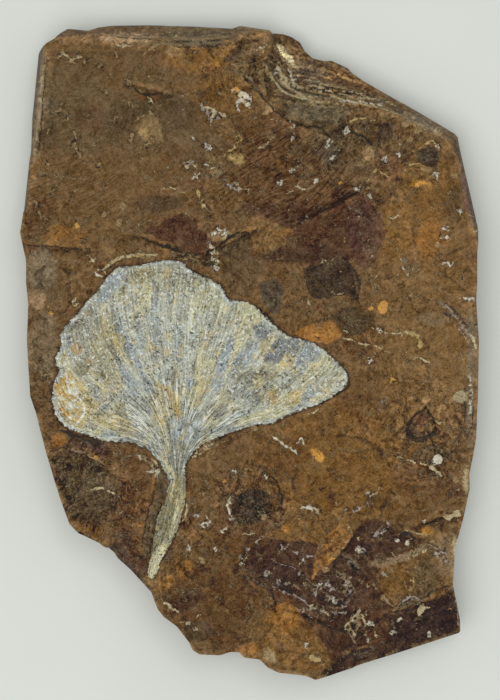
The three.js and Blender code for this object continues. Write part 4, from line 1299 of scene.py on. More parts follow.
# Where fine streaks run through the stone: how much, centre and reach.
STREAKED_PLACES = {
    "upper middle": (1, (290, 175), (75, 60)),
    "upper left": (0.7, (75, 185), (50, 32)),
    "shelf": (0.8, (268, 62), (18, 28)),
    "slope": (0.8, (330, 90), (60, 30)),
    "top bevel": (0.8, (160, 38), (110, 10)),
    "petiole": (0.5, (200, 520), (40, 50)),
}
STREAK_ANGLE = math.radians(33)
STREAK_STRETCH = 0.14


def streak_places(points):
    """Places stretched along the streaks, and how much these show."""
    bent = warped(points, 2.5, 22, 35)
    along, across = on_turned_axes(bent, STREAK_ANGLE)
    shown = np.full(len(points), 0.15)
    for amount, centre, reach in STREAKED_PLACES.values():
        weight = stain_weight(points, centre, reach, 0, 0.9 * min(reach))
        shown = np.maximum(shown, amount * weight)
    return np.column_stack((along * STREAK_STRETCH, across, shown))


def roughness_at(points):
    """How broken the bedding face is, from 0 to 1."""
    rough = 0.3 + 0.25 * smooth(-0.1, 0.6, fractal(points, 18, 3, 27))
    for amount, centre, reach in ROUGH_PLACES.values():
        rough += (amount - rough) * stain_weight(points, centre, reach, 0, 0.9 * min(reach))
    return rough


def ledged(height, points):
    """Steps along the bedding, where the shale has broken away below its face."""
    sway = 0.9 * fractal(points, 11, 3, 25)
    level = height / LEDGE + sway
    stepped = (np.floor(level) + smooth(0.5, 1, level % 1) - sway) * LEDGE
    weight = smooth(0.7, 1.8, FACE_LEVEL - height) * (0.15 + 0.7 * broken_corner(points))
    return height + (stepped - height) * weight


def rock_relief(points, crust_depth, sunk, rough):
    """Height of the rock's flakes, lumps, marks and groove over the bedding face."""
    bent = warped(points, 0.8, 4, 12)
    big, big_way, big_edge = shards(bent, 8, 23)
    small, small_way, small_edge = shards(bent, 3.4, 24)
    relief = 0.14 * fractal(points, 11, 3, 20)
    relief += (0.05 + 0.14 * rough) * fractal(points, 3.4, 4, 21)
    relief += (0.03 + 0.05 * rough) * fractal(points, 1, 3, 22)
    rise = big - 0.5 + 0.12 * big_way[:, 0] * np.sin(big * 40)
    relief += SHARD_RISE * rough * rise * smooth(0, 0.5, big_edge)
    rise = small - 0.5 + 0.25 * small_way[:, 1] * np.sin(small * 40)
    relief += 0.4 * SHARD_RISE * rough * rise * smooth(0, 0.3, small_edge)
    relief += 0.07 * smooth(-0.12, 0.1, crust_depth)
    groove = depth_in(places(GROOVE), points)
    relief -= GROOVE_DEPTH * smooth(-0.2, 0.6, groove)
    return relief - sunk


# Meshes ---------------------------------------------------------------------------------

def triangulated(points, rings):
    """Delaunay triangles of the points within the first ring. A ring is a row of indices."""
    edges = [pair for ring in rings for pair in zip(ring, np.roll(ring, -1).tolist())]
    made = delaunay_2d_cdt([Vector(p) for p in points], edges, [], 0, 1e-5, True)
    corners, _, faces, sources = made[:4]
    corners = np.array([tuple(c) for c in corners])
    faces = np.array(faces)
    origin = np.array([source[0] if source else -1 for source in sources])
    middles = corners[faces].mean(axis=1)
    return corners, origin, faces[within(points[rings[0]], middles)]


def jittered_grid(low, high, step, amount=0.3):
    """Staggered rows of points with small random shifts."""
    rows = np.arange(low[1], high[1], step * 0.87)
    columns = np.arange(low[0], high[0], step)
    x, y = np.meshgrid(columns, rows)
    x = x + np.where(np.arange(len(rows)) % 2, step / 2, 0)[:, None]
    points = np.column_stack((x.ravel(), y.ravel()))
    return points + rng.uniform(-amount, amount, points.shape) * step


def grid_within(outline, low, high, step, margin):
    """A jittered grid inside an outline, further than margin from it."""
    points = jittered_grid(low, high, step)
    return points[depth_in(outline, points) > margin]


def triangulated_within(outline, inner):
    """Delaunay triangles of an outline and the points inside it."""
    return triangulated(np.vstack((outline, inner)), [list(range(len(outline)))])


def thinned(points, kept, step):
    """The points that aren't near any of the kept ones, by cells of one step."""
    taken = set()
    for x, y in np.floor(np.asarray(kept) / step).astype(int).tolist():
        taken |= {(x + i, y + j) for i in (-1, 0, 1) for j in (-1, 0, 1)}
    cells = np.floor(points / step).astype(int).tolist()
    return points[[tuple(cell) not in taken for cell in cells]]


def apart(points, step):
    """The points with no two in one cell of a step."""
    cells = np.floor(points / step).astype(int)
    first = np.unique(cells, axis=0, return_index=True)[1]
    return points[np.sort(first)]


def length_of(line):
    return np.linalg.norm(np.diff(line, axis=0), axis=1).sum()


def ring_round(outline, step):
    """Evenly spaced points round an outline."""
    whole = closed(outline)
    return spaced(whole, int(length_of(whole) / step) + 1)[:-1]


def shrunk(ring, distance):
    """A clockwise ring moved inwards."""
    run = np.roll(ring, -1, axis=0) - np.roll(ring, 1, axis=0)
    run /= np.linalg.norm(run, axis=1)[:, None]
    return ring + distance * np.column_stack((run[:, 1], -run[:, 0]))


def belt(upper, lower):
    """Quads between two rings of indices that run anticlockwise, outside outwards."""
    after_upper = np.roll(upper, -1)
    after_lower = np.roll(lower, -1)
    return list(zip(upper.tolist(), lower.tolist(), after_lower.tolist(), after_upper.tolist()))


def strip_chart(columns, rows, strips, low, size):
    """Map corners for rows of belt() quads, cut into strips that lie side by side."""
    length = math.ceil(columns / strips)
    strip, along = np.divmod(np.arange(columns), length)
    made = []
    for row in range(rows):
        near_side = (strip + 0.9 * row / rows) / strips
        far_side = (strip + 0.9 * (row + 1) / rows) / strips
        start = along / length
        end = (along + 1) / length
        made.append((near_side, start, far_side, start, far_side, end, near_side, end))
    corners = np.concatenate([np.column_stack(row) for row in made])
    return low + size * corners.reshape(-1, 2)


CREASE = math.radians(38)  # faces that meet at more than this show a crisp edge


def make_object(name, points, faces, chart, floats, colours, material):
    """A mesh object from millimetres, with its own map, marks and colours."""
    mesh = bpy.data.meshes.new(name)
    mesh.from_pydata((points * MM).tolist(), [], faces)
    mesh.update()
    layer = mesh.uv_layers.new(name="OFBake")
    layer.data.foreach_set("uv", chart.astype(np.float32).ravel())
    for key, values in floats.items():
        attribute = mesh.attributes.new(key, "FLOAT_VECTOR", "POINT")
        attribute.data.foreach_set("vector", values.astype(np.float32).ravel())
    for key, values in colours.items():
        attribute = mesh.color_attributes.new(key, "FLOAT_COLOR", "POINT")
        full = np.column_stack((np.clip(values, 0, 1), np.ones(len(values))))
        attribute.data.foreach_set("color", full.astype(np.float32).ravel())
    mesh.shade_smooth()
    mesh.set_sharp_from_angle(angle=CREASE)
    mesh.materials.append(material)
    made = bpy.data.objects.new(name, mesh)
    bpy.context.scene.collection.objects.link(made)
    return made


# Materials ------------------------------------------------------------------------------

class Look:
    """A material and short ways to add and join its nodes. Sizes are in millimetres."""

    def __init__(self, name, roughness, specular):
        self.material = bpy.data.materials.new(name)
        self.material.use_nodes = True
        self.nodes = self.material.node_tree.nodes
        self.links = self.material.node_tree.links
        self.shader = self.nodes["Principled BSDF"]
        self.shader.inputs["Roughness"].default_value = roughness
        self.shader.inputs["Specular IOR Level"].default_value = specular
        whole = self.nodes.new("ShaderNodeTexCoord").outputs["Object"]
        self.place = self.scaled(whole, (1 / MM, 1 / MM, 1 / MM))

    def join(self, value, socket):
        """Links a node's output to a socket, or sets the socket to a plain value."""
        if isinstance(value, bpy.types.NodeSocket):
            self.links.new(value, socket)
        else:
            socket.default_value = value

    def vector(self, operation, a, b):
        node = self.nodes.new("ShaderNodeVectorMath")
        node.operation = operation
        self.join(a, node.inputs[0])
        self.join(b, node.inputs[1])
        return node.outputs[0]

    def maths(self, operation, a, b=0.0):
        node = self.nodes.new("ShaderNodeMath")
        node.operation = operation
        self.join(a, node.inputs[0])
        self.join(b, node.inputs[1])
        return node.outputs[0]

    def stored(self, name, output="Color"):
        node = self.nodes.new("ShaderNodeAttribute")
        node.attribute_name = name
        return node.outputs[output]

    def part(self, vector, axis):
        node = self.nodes.new("ShaderNodeSeparateXYZ")
        self.join(vector, node.inputs[0])
        return node.outputs[axis]

    def noise(self, size, detail=4, roughness=0.6, distortion=0, vector=None, output="Fac"):
        node = self.nodes.new("ShaderNodeTexNoise")
        self.join(vector or self.place, node.inputs["Vector"])
        node.inputs["Scale"].default_value = 1 / size
        node.inputs["Detail"].default_value = detail
        node.inputs["Roughness"].default_value = roughness
        node.inputs["Distortion"].default_value = distortion
        return node.outputs[output]

    def flakes(self, size, vector):
        """Angular flakes: the middle of the flake that a place lies in, and its lot, three
        random numbers."""
        node = self.nodes.new("ShaderNodeTexVoronoi")
        self.join(vector, node.inputs["Vector"])
        node.inputs["Scale"].default_value = 1 / size
        return node.outputs["Position"], node.outputs["Color"]

    def turned(self, vector, centre, angle):
        node = self.nodes.new("ShaderNodeVectorRotate")
        node.rotation_type = "Z_AXIS"
        self.join(vector, node.inputs["Vector"])
        self.join(centre, node.inputs["Center"])
        self.join(angle, node.inputs["Angle"])
        return node.outputs["Vector"]

    def times(self, *values):
        """The product of several values."""
        product = values[0]
        for value in values[1:]:
            product = self.maths("MULTIPLY", product, value)
        return product

    def total(self, *values):
        """The sum of several values."""
        made = values[0]
        for value in values[1:]:
            made = self.maths("ADD", made, value)
        return made

    def ramp(self, value, low, high, start=0.0, end=1.0):
        """From start at low to end at high, smoothly."""
        node = self.nodes.new("ShaderNodeMapRange")
        node.interpolation_type = "SMOOTHSTEP"
        self.join(value, node.inputs["Value"])
        self.join(low, node.inputs["From Min"])
        self.join(high, node.inputs["From Max"])
        self.join(start, node.inputs["To Min"])
        self.join(end, node.inputs["To Max"])
        return node.outputs["Result"]

    def mix(self, share, under, over, mode="MIX"):
        node = self.nodes.new("ShaderNodeMix")
        node.data_type = "RGBA"
        node.blend_type = mode
        self.join(share, node.inputs["Factor"])
        for value, socket in ((under, node.inputs["A"]), (over, node.inputs["B"])):
            solid = isinstance(value, np.ndarray)
            self.join((*value, 1) if solid else value, socket)
        return node.outputs["Result"]

    def scaled(self, value, factor):
        """A colour or a place, multiplied."""
        return self.vector("MULTIPLY", value, factor)

    def lit(self, colour, amount):
        """A colour made lighter or darker by a share, with little change of its hue."""
        factor = self.maths("ADD", amount, 1.0)
        return self.vector("ADD", self.scaled(colour, factor), self.times(amount, 0.05))

    def finish(self, colour, height, distance, roughness=None):
        """Joins the shader's inputs. A height of 1 stands out by distance."""
        self.join(colour, self.shader.inputs["Base Color"])
        if roughness is not None:
            self.join(roughness, self.shader.inputs["Roughness"])
        bump = self.nodes.new("ShaderNodeBump")
        bump.inputs["Distance"].default_value = distance * MM
        self.join(height, bump.inputs["Height"])
        self.join(bump.outputs["Normal"], self.shader.inputs["Normal"])
        return self.material


def shale_look():
    look = Look("brown_shale", roughness=0.6, specular=0.25)
    marks = look.stored("Marks", "Vector")
    rough = look.part(marks, 2)
    grain = look.noise(0.38, 3, 0.75)
    blotch = look.noise(1.6, 5, 0.75, 0.5)
    streak = shale_streaks(look)
    colour, flake_height = shale_flakes(look, rough, grain, blotch, streak)
    colour = shale_specks(look, rough, colour)
    colour, step_height = flake_edges(look, rough, colour)
    colour, crust = shale_marks(look, marks, grain, colour)
    height = look.total(
        look.times(grain, 0.35), blotch, flake_height, look.times(streak, 0.6),
        look.times(step_height, 0.35), look.times(crust, 0.25))
    roughness = look.ramp(blotch, 0.3, 0.75, 0.5, 0.75)
    return look.finish(colour, height, 0.3, roughness)


def shale_streaks(look):
    """Fine streaks, strong where the mesh's own values say so."""
    streaks = look.stored("Streaks", "Vector")
    streak = look.noise(0.5, 4, 0.75, 0.3, look.scaled(streaks, (1, 1, 0)))
    return look.times(look.ramp(streak, 0.35, 0.65, -0.25, 0.4), look.part(streaks, 2))


def shale_flakes(look, rough, grain, blotch, streak):
    """Flakes, each with a grain of its own direction and a slightly different brown: their
    colour and their height."""
    bend = look.noise(1.3, 4, 0.65, output="Color")
    bent = look.vector("ADD", look.place, look.scaled(bend, (1.6, 1.6, 1.6)))
    middle, lot = look.flakes(4.2, bent)
    small_lot = look.flakes(1.2, bent)[1]
    turned = look.turned(bent, middle, look.times(look.part(lot, 0), math.pi))
    strokes = look.noise(0.55, 4, 0.7, 0.3, look.scaled(turned, (1, 0.22, 1)))
    amount = look.total(
        look.ramp(grain, 0.3, 0.7, -0.26, 0.26),
        look.ramp(blotch, 0.33, 0.67, -0.12, 0.12),
        look.ramp(strokes, 0.35, 0.65, -0.24, 0.24),
        look.ramp(look.part(small_lot, 0), 0, 1, -0.13, 0.13),
        look.ramp(look.part(lot, 2), 0, 1, -0.1, 0.1))
    gain = look.ramp(rough, 0, 1, 0.7, 1.6)
    colour = look.lit(look.stored("Tint"), look.total(look.times(amount, gain), streak))
    redder = look.ramp(look.part(lot, 1), 0.5, 0.9, 0, 0.5)
    colour = look.mix(redder, colour, look.scaled(colour, (1.05, 0.99, 0.94)))
    greyer = look.ramp(look.part(small_lot, 1), 0.5, 0.9, 0, 0.5)
    colour = look.mix(greyer, colour, look.scaled(colour, (0.96, 1.0, 1.04)))
    height = look.total(look.times(strokes, 0.5), look.times(look.part(small_lot, 0), 0.25))
    return colour, height


def shale_specks(look, rough, colour):
    """Drifts of dark specks, and pale ones in between."""
    drifts = look.noise(7, 4, 0.65)
    specks = look.ramp(look.noise(0.5, 4, 0.8, 0.6), 0.6, 0.63)
    colour = look.mix(look.times(specks, look.ramp(drifts, 0.56, 0.4), 0.85), colour, PITCH)
    pale_specks = look.ramp(look.noise(0.5, 4, 0.85, 0.8), 0.645, 0.665)
    fewer = look.ramp(rough, 0.3, 0.9, 0.85, 0.35)
    return look.mix(look.times(pale_specks, look.ramp(drifts, 0.45, 0.62), fewer), colour, CREAM)


def flake_edges(look, rough, colour):
    """Edges of flakes, as a painted shadow beside a thin pale line along a level of some noise, the
    line part the flake's edge and part a painted highlight: the colour with them, and the height of
    their steps."""
    height = 0
    for size, drift, line_tone in ((2.1, 4.3, TAN), (1.1, 2.6, CREAM)):
        away = look.maths("SUBTRACT", look.noise(size, 4, 0.6, 0.7), 0.5)
        shown = look.total(look.noise(drift, 3, 0.6), look.ramp(rough, 0, 1, -0.07, 0))
        shown = look.ramp(shown, 0.54, 0.58)
        # Painted shadow on the low side of each step
        shade = look.times(look.ramp(away, -0.09, -0.012), look.ramp(away, 0, -0.01))
        colour = look.mix(look.times(shade, shown, 0.7), colour, PITCH)
        # The pale line: part the flake's edge, part painted highlight
        line = look.ramp(look.maths("ABSOLUTE", away), 0.02, 0.008)
        colour = look.mix(look.times(line, shown, 0.65), colour, line_tone)
        height = look.total(look.times(look.ramp(away, -0.02, 0.02), shown), height)
    return colour, height


def shale_marks(look, marks, grain, colour):
    """Cracks painted dark with shade, and mineral crusts, with ragged edges: the colour with them,
    and the crusts.
    """
    ragged = look.times(look.maths("SUBTRACT", look.noise(0.34, 4, 0.75), 0.5), 0.75)
    # Painted shade in the cracks
    crack = look.ramp(look.total(look.part(marks, 1), ragged), -0.05, 0.05)
    colour = look.mix(look.times(crack, 0.85), colour, PITCH)
    crust = look.ramp(look.total(look.part(marks, 0), ragged), -0.02, 0.04)
    crust_colour = look.lit(look.stored("Crust"), look.ramp(grain, 0.3, 0.7, -0.4, 0.25))
    return look.mix(look.times(crust, 0.9), colour, crust_colour), crust


def leaf_look():
    """Chalky mineral with fine veins, crusts, bright and dark dashes along them, and a frayed
    margin."""
    look = Look("pale_leaf_mineral", roughness=0.7, specular=0.25)
    fan = look.stored("Fan", "Vector")
    fork = look.stored("Fork", "Vector")

    def veined(size, stretch, detail=4, roughness=0.7):
        """Noise drawn out along the veins, as fine at the base of the fan as at its rim."""
        first, second = (
            look.noise(size, detail, roughness, 0.2, look.scaled(across, (1, stretch, 0)))
            for across in (fan, fork))
        return look.ramp(look.part(fork, 2), 0, 1, first, second)

    # Light and dark lines along the veins, with grain and soft clouds
    fine = veined(0.42, 0.06)
    broad = veined(1.1, 0.05, 3, 0.6)
    grain = look.noise(0.36, 3, 0.8)
    soft = look.noise(1.1, 5, 0.75, 0.6)
    base = look.ramp(look.part(fan, 1), 32, 14)
    stem = look.ramp(look.part(fan, 1), 1, -3)
    amount = look.total(
        look.times(look.ramp(fine, 0.35, 0.65, -0.3, 0.26), look.ramp(base, 0, 1, 0.5, 1)),
        look.times(look.ramp(broad, 0.35, 0.65, -0.2, 0.2), look.ramp(base, 0, 1, 0.4, 1)),
        look.ramp(grain, 0.3, 0.7, -0.26, 0.24), look.ramp(soft, 0.3, 0.7, -0.24, 0.22))
    colour = look.lit(look.stored("Tint"), amount)

    # Ochre crusts, and thin dark gaps between the veins, painted as shade
    crusty = look.ramp(look.noise(1.2, 5, 0.8, 0.8), 0.55, 0.62)
    colour = look.mix(look.times(crusty, 0.45), colour, LEAF_YELLOW)
    lines = look.maths("ABSOLUTE", look.maths("SUBTRACT", veined(0.9, 0.05, 3, 0.6), 0.5))
    line = look.ramp(lines, look.ramp(base, 0, 1, 0.01, 0.025), 0.004)
    colour = look.mix(look.times(line, look.ramp(base, 0, 1, 0.4, 0.8)), colour, LEAF_SHADE)

    # White strokes along the veins near the petiole, and white spots further out
    strokes = look.times(look.ramp(veined(0.5, 0.05, 3), 0.56, 0.61), base)
    spots = look.ramp(look.noise(0.7, 4, 0.75, 0.6), 0.57, 0.6)
    spots = look.times(spots, look.ramp(base, 0, 1, 1, 0.3))
    bright = look.times(look.maths("MAXIMUM", strokes, spots), look.ramp(stem, 0, 1, 0.8, 0.25))
    colour = look.mix(bright, colour, LEAF_WHITE)

    # Dark dashes, dark dots in clusters, and the margin's worn edge
    clusters = look.noise(4, 4, 0.65, 0.5)
    dashes = look.ramp(veined(0.42, 0.3, 5, 0.8), 0.6, 0.63)
    dots = look.ramp(look.noise(0.62, 4, 0.8, 0.5), 0.585, 0.605)
    dots = look.times(dots, look.ramp(clusters, 0.42, 0.54, 0.1, 1))
    dark = look.maths("MAXIMUM", look.times(dashes, 0.7), dots)
    colour = look.mix(look.times(dark, 0.9), colour, LEAF_DARK)
    margin_noise = look.ramp(look.noise(0.7, 4, 0.75), 0.3, 0.7, -0.35, 0.3)
    frayed = look.total(look.part(fan, 2), margin_noise)
    colour = look.mix(look.ramp(frayed, 0.12, 0.02), colour, DARK_OLIVE)
    height = look.total(look.times(grain, 0.7), look.times(fine, 0.8), look.times(dark, -0.5))
    return look.finish(colour, height, 0.28)


FLOOR_DARK = tone(213, 215, 209)
FLOOR_LIGHT = tone(216, 218, 212)


def floor_look():
    look = Look("studio_floor", roughness=0.8, specular=0.2)
    soft = look.noise(60, 2, 0.5)
    colour = look.mix(look.ramp(soft, 0.3, 0.7, 0, 1), FLOOR_DARK, FLOOR_LIGHT)
    return look.finish(colour, soft, 0.01)


# The slab -------------------------------------------------------------------------------

LEAF_RING_STEP = 0.4  # spacing of the points round the leaf
POCKET_SLOPE = 0.15  # how far in the pocket's wall goes on its way down
GRID_TO_OUTLINE = 0.3  # least distances between the kinds of points on the face
GRID_TO_MARK = 0.17
MARK_TO_OUTLINE = 0.4
MARK_TO_EDGE = 0.15
MARK_TO_LEAF = 0.2
RIM_RISE = 0.25  # the most that the flakes at the rim rise over the CAD's
LOWEST_PROBE = 0.03  # the walls' foot is looked for this high
WALL_ROUGHNESS = 0.5
LAYER = 1.5  # usual thickness of the layers that show on the walls
STANDS_OUT = 0.15  # the most that a layer stands out of the CAD's wall


def layer_places(points):
    """Places for noise that jumps from one layer of the shale to the next."""
    level = points[:, 2] / LAYER + 0.8 * fractal(points[:, :2], 20, 3, 47)
    stepped = np.floor(level) + smooth(0.75, 1, level % 1)
    return np.column_stack((points[:, :2] / 26, 3.7 * stepped))


def wall_tint(points, top_colours, share):
    """Layers of shale along the walls, taking over from the face's colours downwards."""
    flat = layer_places(points)
    bands = fractal(flat, 1, 4, 40)
    colours = np.tile(BROWN, (len(points), 1))
    lay(colours, CHOCOLATE, 0.9 * smooth(0, 0.3, bands))
    lay(colours, OCHRE, 0.7 * smooth(0.05, 0.35, -bands))
    lay(colours, GREY, 0.5 * smooth(0.25, 0.6, fractal(flat * (1, 1, 0.4), 1, 4, 41)))
    lay(colours, RUST, 0.6 * smooth(0.15, 0.5, fractal(points, 6, 4, 42)))
    mix = smooth(0, 0.16, share)[:, None]
    return top_colours * (1 - mix) + colours * mix


def wall_relief(points):
    """Ledges along the bedding and shell-shaped breaks, as millimetres outwards."""
    ledges = 1.1 * fractal(layer_places(points), 1, 4, 43)
    breaks = 0.3 * fractal(points, 5, 4, 44) + 0.1 * fractal(points, 1.6, 3, 48)
    return np.minimum(ledges + breaks - 0.1, STANDS_OUT)


def points_on_marks(rings):
    """Points along the marks and on both sides of the patches' edges."""
    sides = [apart(np.vstack([shrunk(outline, side) for *_, outline in patches]), MARK_STEP)
             for side in (-EDGE, EDGE)]
    sides = np.vstack(sides)
    lines = apart(np.vstack([mark.line for mark in crusts + cracks]), MARK_STEP)
    found = np.vstack((sides, thinned(lines, sides, MARK_TO_EDGE)))
    found = found[depth_in_slab(found) > MARK_TO_OUTLINE]
    return thinned(found, rings, MARK_STEP)


def top_points():
    """Points of the bedding face: the rings first, then the marks, then a grid. The face goes
    down from the leaf's ring to the pocket's, and its points under the leaf are few."""
    leaf_ring = ring_round(leaf_rim, LEAF_RING_STEP)
    pocket_ring = shrunk(leaf_ring, POCKET_SLOPE)
    rings = np.vstack((rim_xy, leaf_ring, pocket_ring))
    marks = points_on_marks(rings)
    grid = jittered_grid(slab_low[:2], slab_high[:2], TOP_STEP)
    grid = grid[depth_in_slab(grid) > GRID_TO_OUTLINE]
    grid = thinned(thinned(grid, rings, MARK_STEP), marks, GRID_TO_MARK)
    grid = grid[depth_in(leaf_ring, grid) < 0]
    marks = marks[depth_in(leaf_ring, marks) < -MARK_TO_LEAF]
    hidden = grid_within(leaf_ring, leaf_rim.min(0), leaf_rim.max(0), UNDER_STEP, UNDER_STEP / 2)
    return np.vstack((rings, marks, grid, hidden)), (len(rim_xy), len(leaf_ring))


def face_mesh():
    """The bedding face from above: its points, its triangles, the slab's rim as places in the
    row of points, and which points lie in the leaf's pocket."""
    points, (rim_count, leaf_count) = top_points()
    rim_ring = list(range(rim_count))
    leaf_ring = list(range(rim_count, rim_count + leaf_count))
    pocket_ring = [i + leaf_count for i in leaf_ring]
    flat, origin, faces = triangulated(points, [rim_ring, leaf_ring, pocket_ring])
    position = np.full(len(points), -1)
    position[origin[origin >= 0]] = np.flatnonzero(origin >= 0)
    in_pocket = depth_in(points[leaf_ring], flat) > POCKET_SLOPE / 3
    return flat, faces, position[rim_ring], in_pocket


def face_tint(flat, faces, base, height, rough):
    """All the colours of the bedding face, less the light that its sheen adds."""
    tint = rock_colours(flat)
    pairs = np.vstack((faces[:, :2], faces[:, 1:], faces[:, ::2]))
    weathered(tint, flat, base, height, rough, pairs)
    edged(tint, flat)
    return np.maximum(tint - GLOSS, 0.001)


def slab_walls(rim_heights):
    """The walls' points in rows from the rim downwards, and each row's share of the way."""
    shares = np.arange(1, WALL_ROWS + 1) / WALL_ROWS
    rows = []
    for share in shares:
        heights = rim_heights * (1 - share)
        probe = np.maximum(heights, LOWEST_PROBE)
        radius = np.array([wall_radius(a, z) for a, z in zip(rim_angles, probe)])
        row = np.column_stack((radius[:, None] * rim_headings, heights))
        push = wall_relief(row) * smooth(0, 0.12, share) * (1 - smooth(0.9, 1, share))
        row[:, :2] += push[:, None] * rim_headings
        rows.append(row)
    return rows, shares


def slab_base(outline, outline_index, first_index):
    """Points, triangles and colours of the underside, within the walls' lowest row."""
    inner = grid_within(outline, slab_low[:2], slab_high[:2], UNDER_STEP, 1)
    flat, origin, faces = triangulated_within(outline, inner)
    index = first_index + np.arange(len(flat))
    on_outline = (origin >= 0) & (origin < len(outline))
    index[on_outline] = outline_index[origin[on_outline]]
    height = 0.5 * smooth(-0.3, 0.6, fractal(flat, 9, 4, 45))
    height *= smooth(0, 2, depth_in(outline, flat))
    colours = ground_colours(flat)
    lay(colours, GREY, 0.4 * smooth(0, 0.5, fractal(flat, 12, 3, 46)))
    return np.column_stack((flat, height)), index[faces[:, ::-1]], colours


def build_slab(material):
    flat, top_faces, rim, in_pocket = face_mesh()
    crust_depth, crust_colours = crust_field(flat, crusts)
    crack_depth, sunk = crack_field(flat, cracks)
    base = bedding.at(flat)
    rough = roughness_at(flat)
    height = ledged(base, flat) + rock_relief(flat, crust_depth, sunk, rough)
    tint = face_tint(flat, top_faces, base, height, rough)
    height[in_pocket] = base[in_pocket] + POCKET_FLOOR
    height[rim] = np.minimum(height[rim], rim_height + RIM_RISE)
    top = np.column_stack((flat, height))

    rows, shares = slab_walls(height[rim])
    walls = np.vstack(rows)
    rim_tints = np.tile(tint[rim], (WALL_ROWS, 1))
    wall_colours = wall_tint(walls, rim_tints, np.repeat(shares, RIM_STEPS))
    rings = [rim] + [len(top) + RIM_STEPS * row + np.arange(RIM_STEPS) for row in range(WALL_ROWS)]
    low, low_faces, low_colours = slab_base(rows[-1][:, :2], rings[-1], len(top) + len(walls))

    everything = np.vstack((top, walls, low))
    faces = top_faces.tolist()
    for upper, lower in zip(rings, rings[1:]):
        faces += belt(upper, lower)
    faces += low_faces.tolist()
    others = len(everything) - len(top)
    marks = np.column_stack((crust_depth, crack_depth, rough))
    marks = np.vstack((marks, np.tile((-FAR, -FAR, WALL_ROUGHNESS), (others, 1))))
    return make_object(
        "shale_slab", everything, faces, slab_chart(everything, top_faces, low_faces),
        {"Marks": marks, "Streaks": streak_places(everything[:, :2])},
        {"Tint": np.vstack((tint, wall_colours, low_colours)),
         "Crust": np.vstack((crust_colours, np.tile(CREAM, (others, 1))))}, material)


def slab_chart(points, top_faces, low_faces):
    """Map corners of all the faces: the bedding face large, and the walls and the underside
    in the free corners. The whole map is 1 wide and 1 high."""
    spread = (points[:, :2] - slab_low[:2]) / (slab_high[1] - slab_low[1])
    top = 0.005 + 0.88 * spread[top_faces.ravel()]
    walls = strip_chart(RIM_STEPS, WALL_ROWS, 4, np.array((0.64, 0.54)), np.array((0.34, 0.44)))
    low = (0.64, 0.01) + 0.5 * spread[low_faces.ravel()]
    return np.vstack((top, walls, low))


# The leaf -------------------------------------------------------------------------------

# Corners of the leaf's outline
LOBE = place(52, 396)
WING_TIP = place(348, 377)
LEFT_JUNCTION = place(169, 480.6)
RIGHT_JUNCTION = place(184.7, 467.8)
PETIOLE_TIP = place(152, 579)


def between(start, end):
    """The part of the leaf's rim from the point nearest to start, clockwise to end's."""
    first = np.argmin(np.linalg.norm(leaf_rim - start, axis=1))
    last = np.argmin(np.linalg.norm(leaf_rim - end, axis=1))
    count = (last - first) % len(leaf_rim) + 1
    return leaf_rim[(first + np.arange(count)) % len(leaf_rim)]


CURVE_POINTS = 400
left_margin = spaced(between(LEFT_JUNCTION, LOBE), CURVE_POINTS)
outer_margin = spaced(between(LOBE, WING_TIP), CURVE_POINTS)
right_margin = spaced(between(WING_TIP, RIGHT_JUNCTION)[::-1], CURVE_POINTS)
petiole_right = spaced(between(RIGHT_JUNCTION, PETIOLE_TIP), CURVE_POINTS)
petiole_left = spaced(between(PETIOLE_TIP, LEFT_JUNCTION)[::-1], CURVE_POINTS)


def along(curve, share):
    at = share * (CURVE_POINTS - 1)
    return np.column_stack([np.interp(at, np.arange(CURVE_POINTS), c) for c in curve.T])


def fan_point(across, out):
    """A point of the blade: across from its left to its right margin, out from the petiole."""
    base = left_margin[0] + across[:, None] * (right_margin[0] - left_margin[0])
    rim = along(outer_margin, across)
    left = along(left_margin, out)
    right = along(right_margin, out)
    u = across[:, None]
    t = out[:, None]
    corners = (1 - u) * (1 - t) * left_margin[0] + u * (1 - t) * right_margin[0]
    corners += (1 - u) * t * outer_margin[0] + u * t * outer_margin[-1]
    return (1 - t) * base + t * rim + (1 - u) * left + u * right - corners


FAN_WIDTH = length_of(outer_margin)
FAN_LENGTH = 46
STEM_WIDTH = np.linalg.norm(right_margin[0] - left_margin[0])
STEM_LENGTH = length_of(petiole_right)
STEM_COLUMNS = 18  # points across the petiole
LEAF_RIM_STEP = 0.25  # spacing of the points round the leaf's face
FRAY = 0.22  # the most that the torn margin goes in
GRID_TO_RIM = 0.12  # least distance of the face's points to its rim


def width_at(out):
    """Width of the fan from margin to margin, at a share of the way out."""
    return STEM_WIDTH + (FAN_WIDTH - STEM_WIDTH) * out


def blade_points():
    """Even rows of points across the blade, with their places in the fan."""
    spots = []
    for out in np.arange(0.004, 1, LEAF_STEP / FAN_LENGTH):
        count = max(6, int(width_at(out) / LEAF_STEP))
        across = (np.arange(count) + 0.5 + rng.uniform(-0.15, 0.15, count)) / count
        spots.append(np.column_stack((across, np.full(count, out))))
    fan = np.vstack(spots)
    return fan_point(fan[:, 0], fan[:, 1]), fan


def petiole_points():
    """Even rows of points across the petiole, whose places in the fan are below 0."""
    across = (np.arange(STEM_COLUMNS) + 0.5) / STEM_COLUMNS
    fan = np.vstack([np.column_stack((across, np.full(STEM_COLUMNS, -down)))
                     for down in np.arange(0.006, 1, LEAF_STEP / STEM_LENGTH)])
    left = along(petiole_left, -fan[:, 1])
    right = along(petiole_right, -fan[:, 1])
    return left + fan[:, :1] * (right - left), fan


def vein_pattern(fan):
    """Ridges that fork again and again on the way out, so that they stay close together."""
    across = fan[:, 0]
    out = np.maximum(fan[:, 1], 0)
    octave = np.log2(width_at(out) / VEIN_SPACING / 3)
    lower = np.floor(octave)
    share = smooth(0.3, 0.7, octave - lower)
    wander = 0.25 * fractal(np.column_stack((across * 60, out * 4)), 1, 3, 60)
    total = np.zeros(len(fan))
    for step, weight in ((0, 1 - share), (1, share)):
        count = 3 * 2.0 ** (lower + step)
        total += weight * np.cos(2 * math.pi * (across * count + wander))
    return total


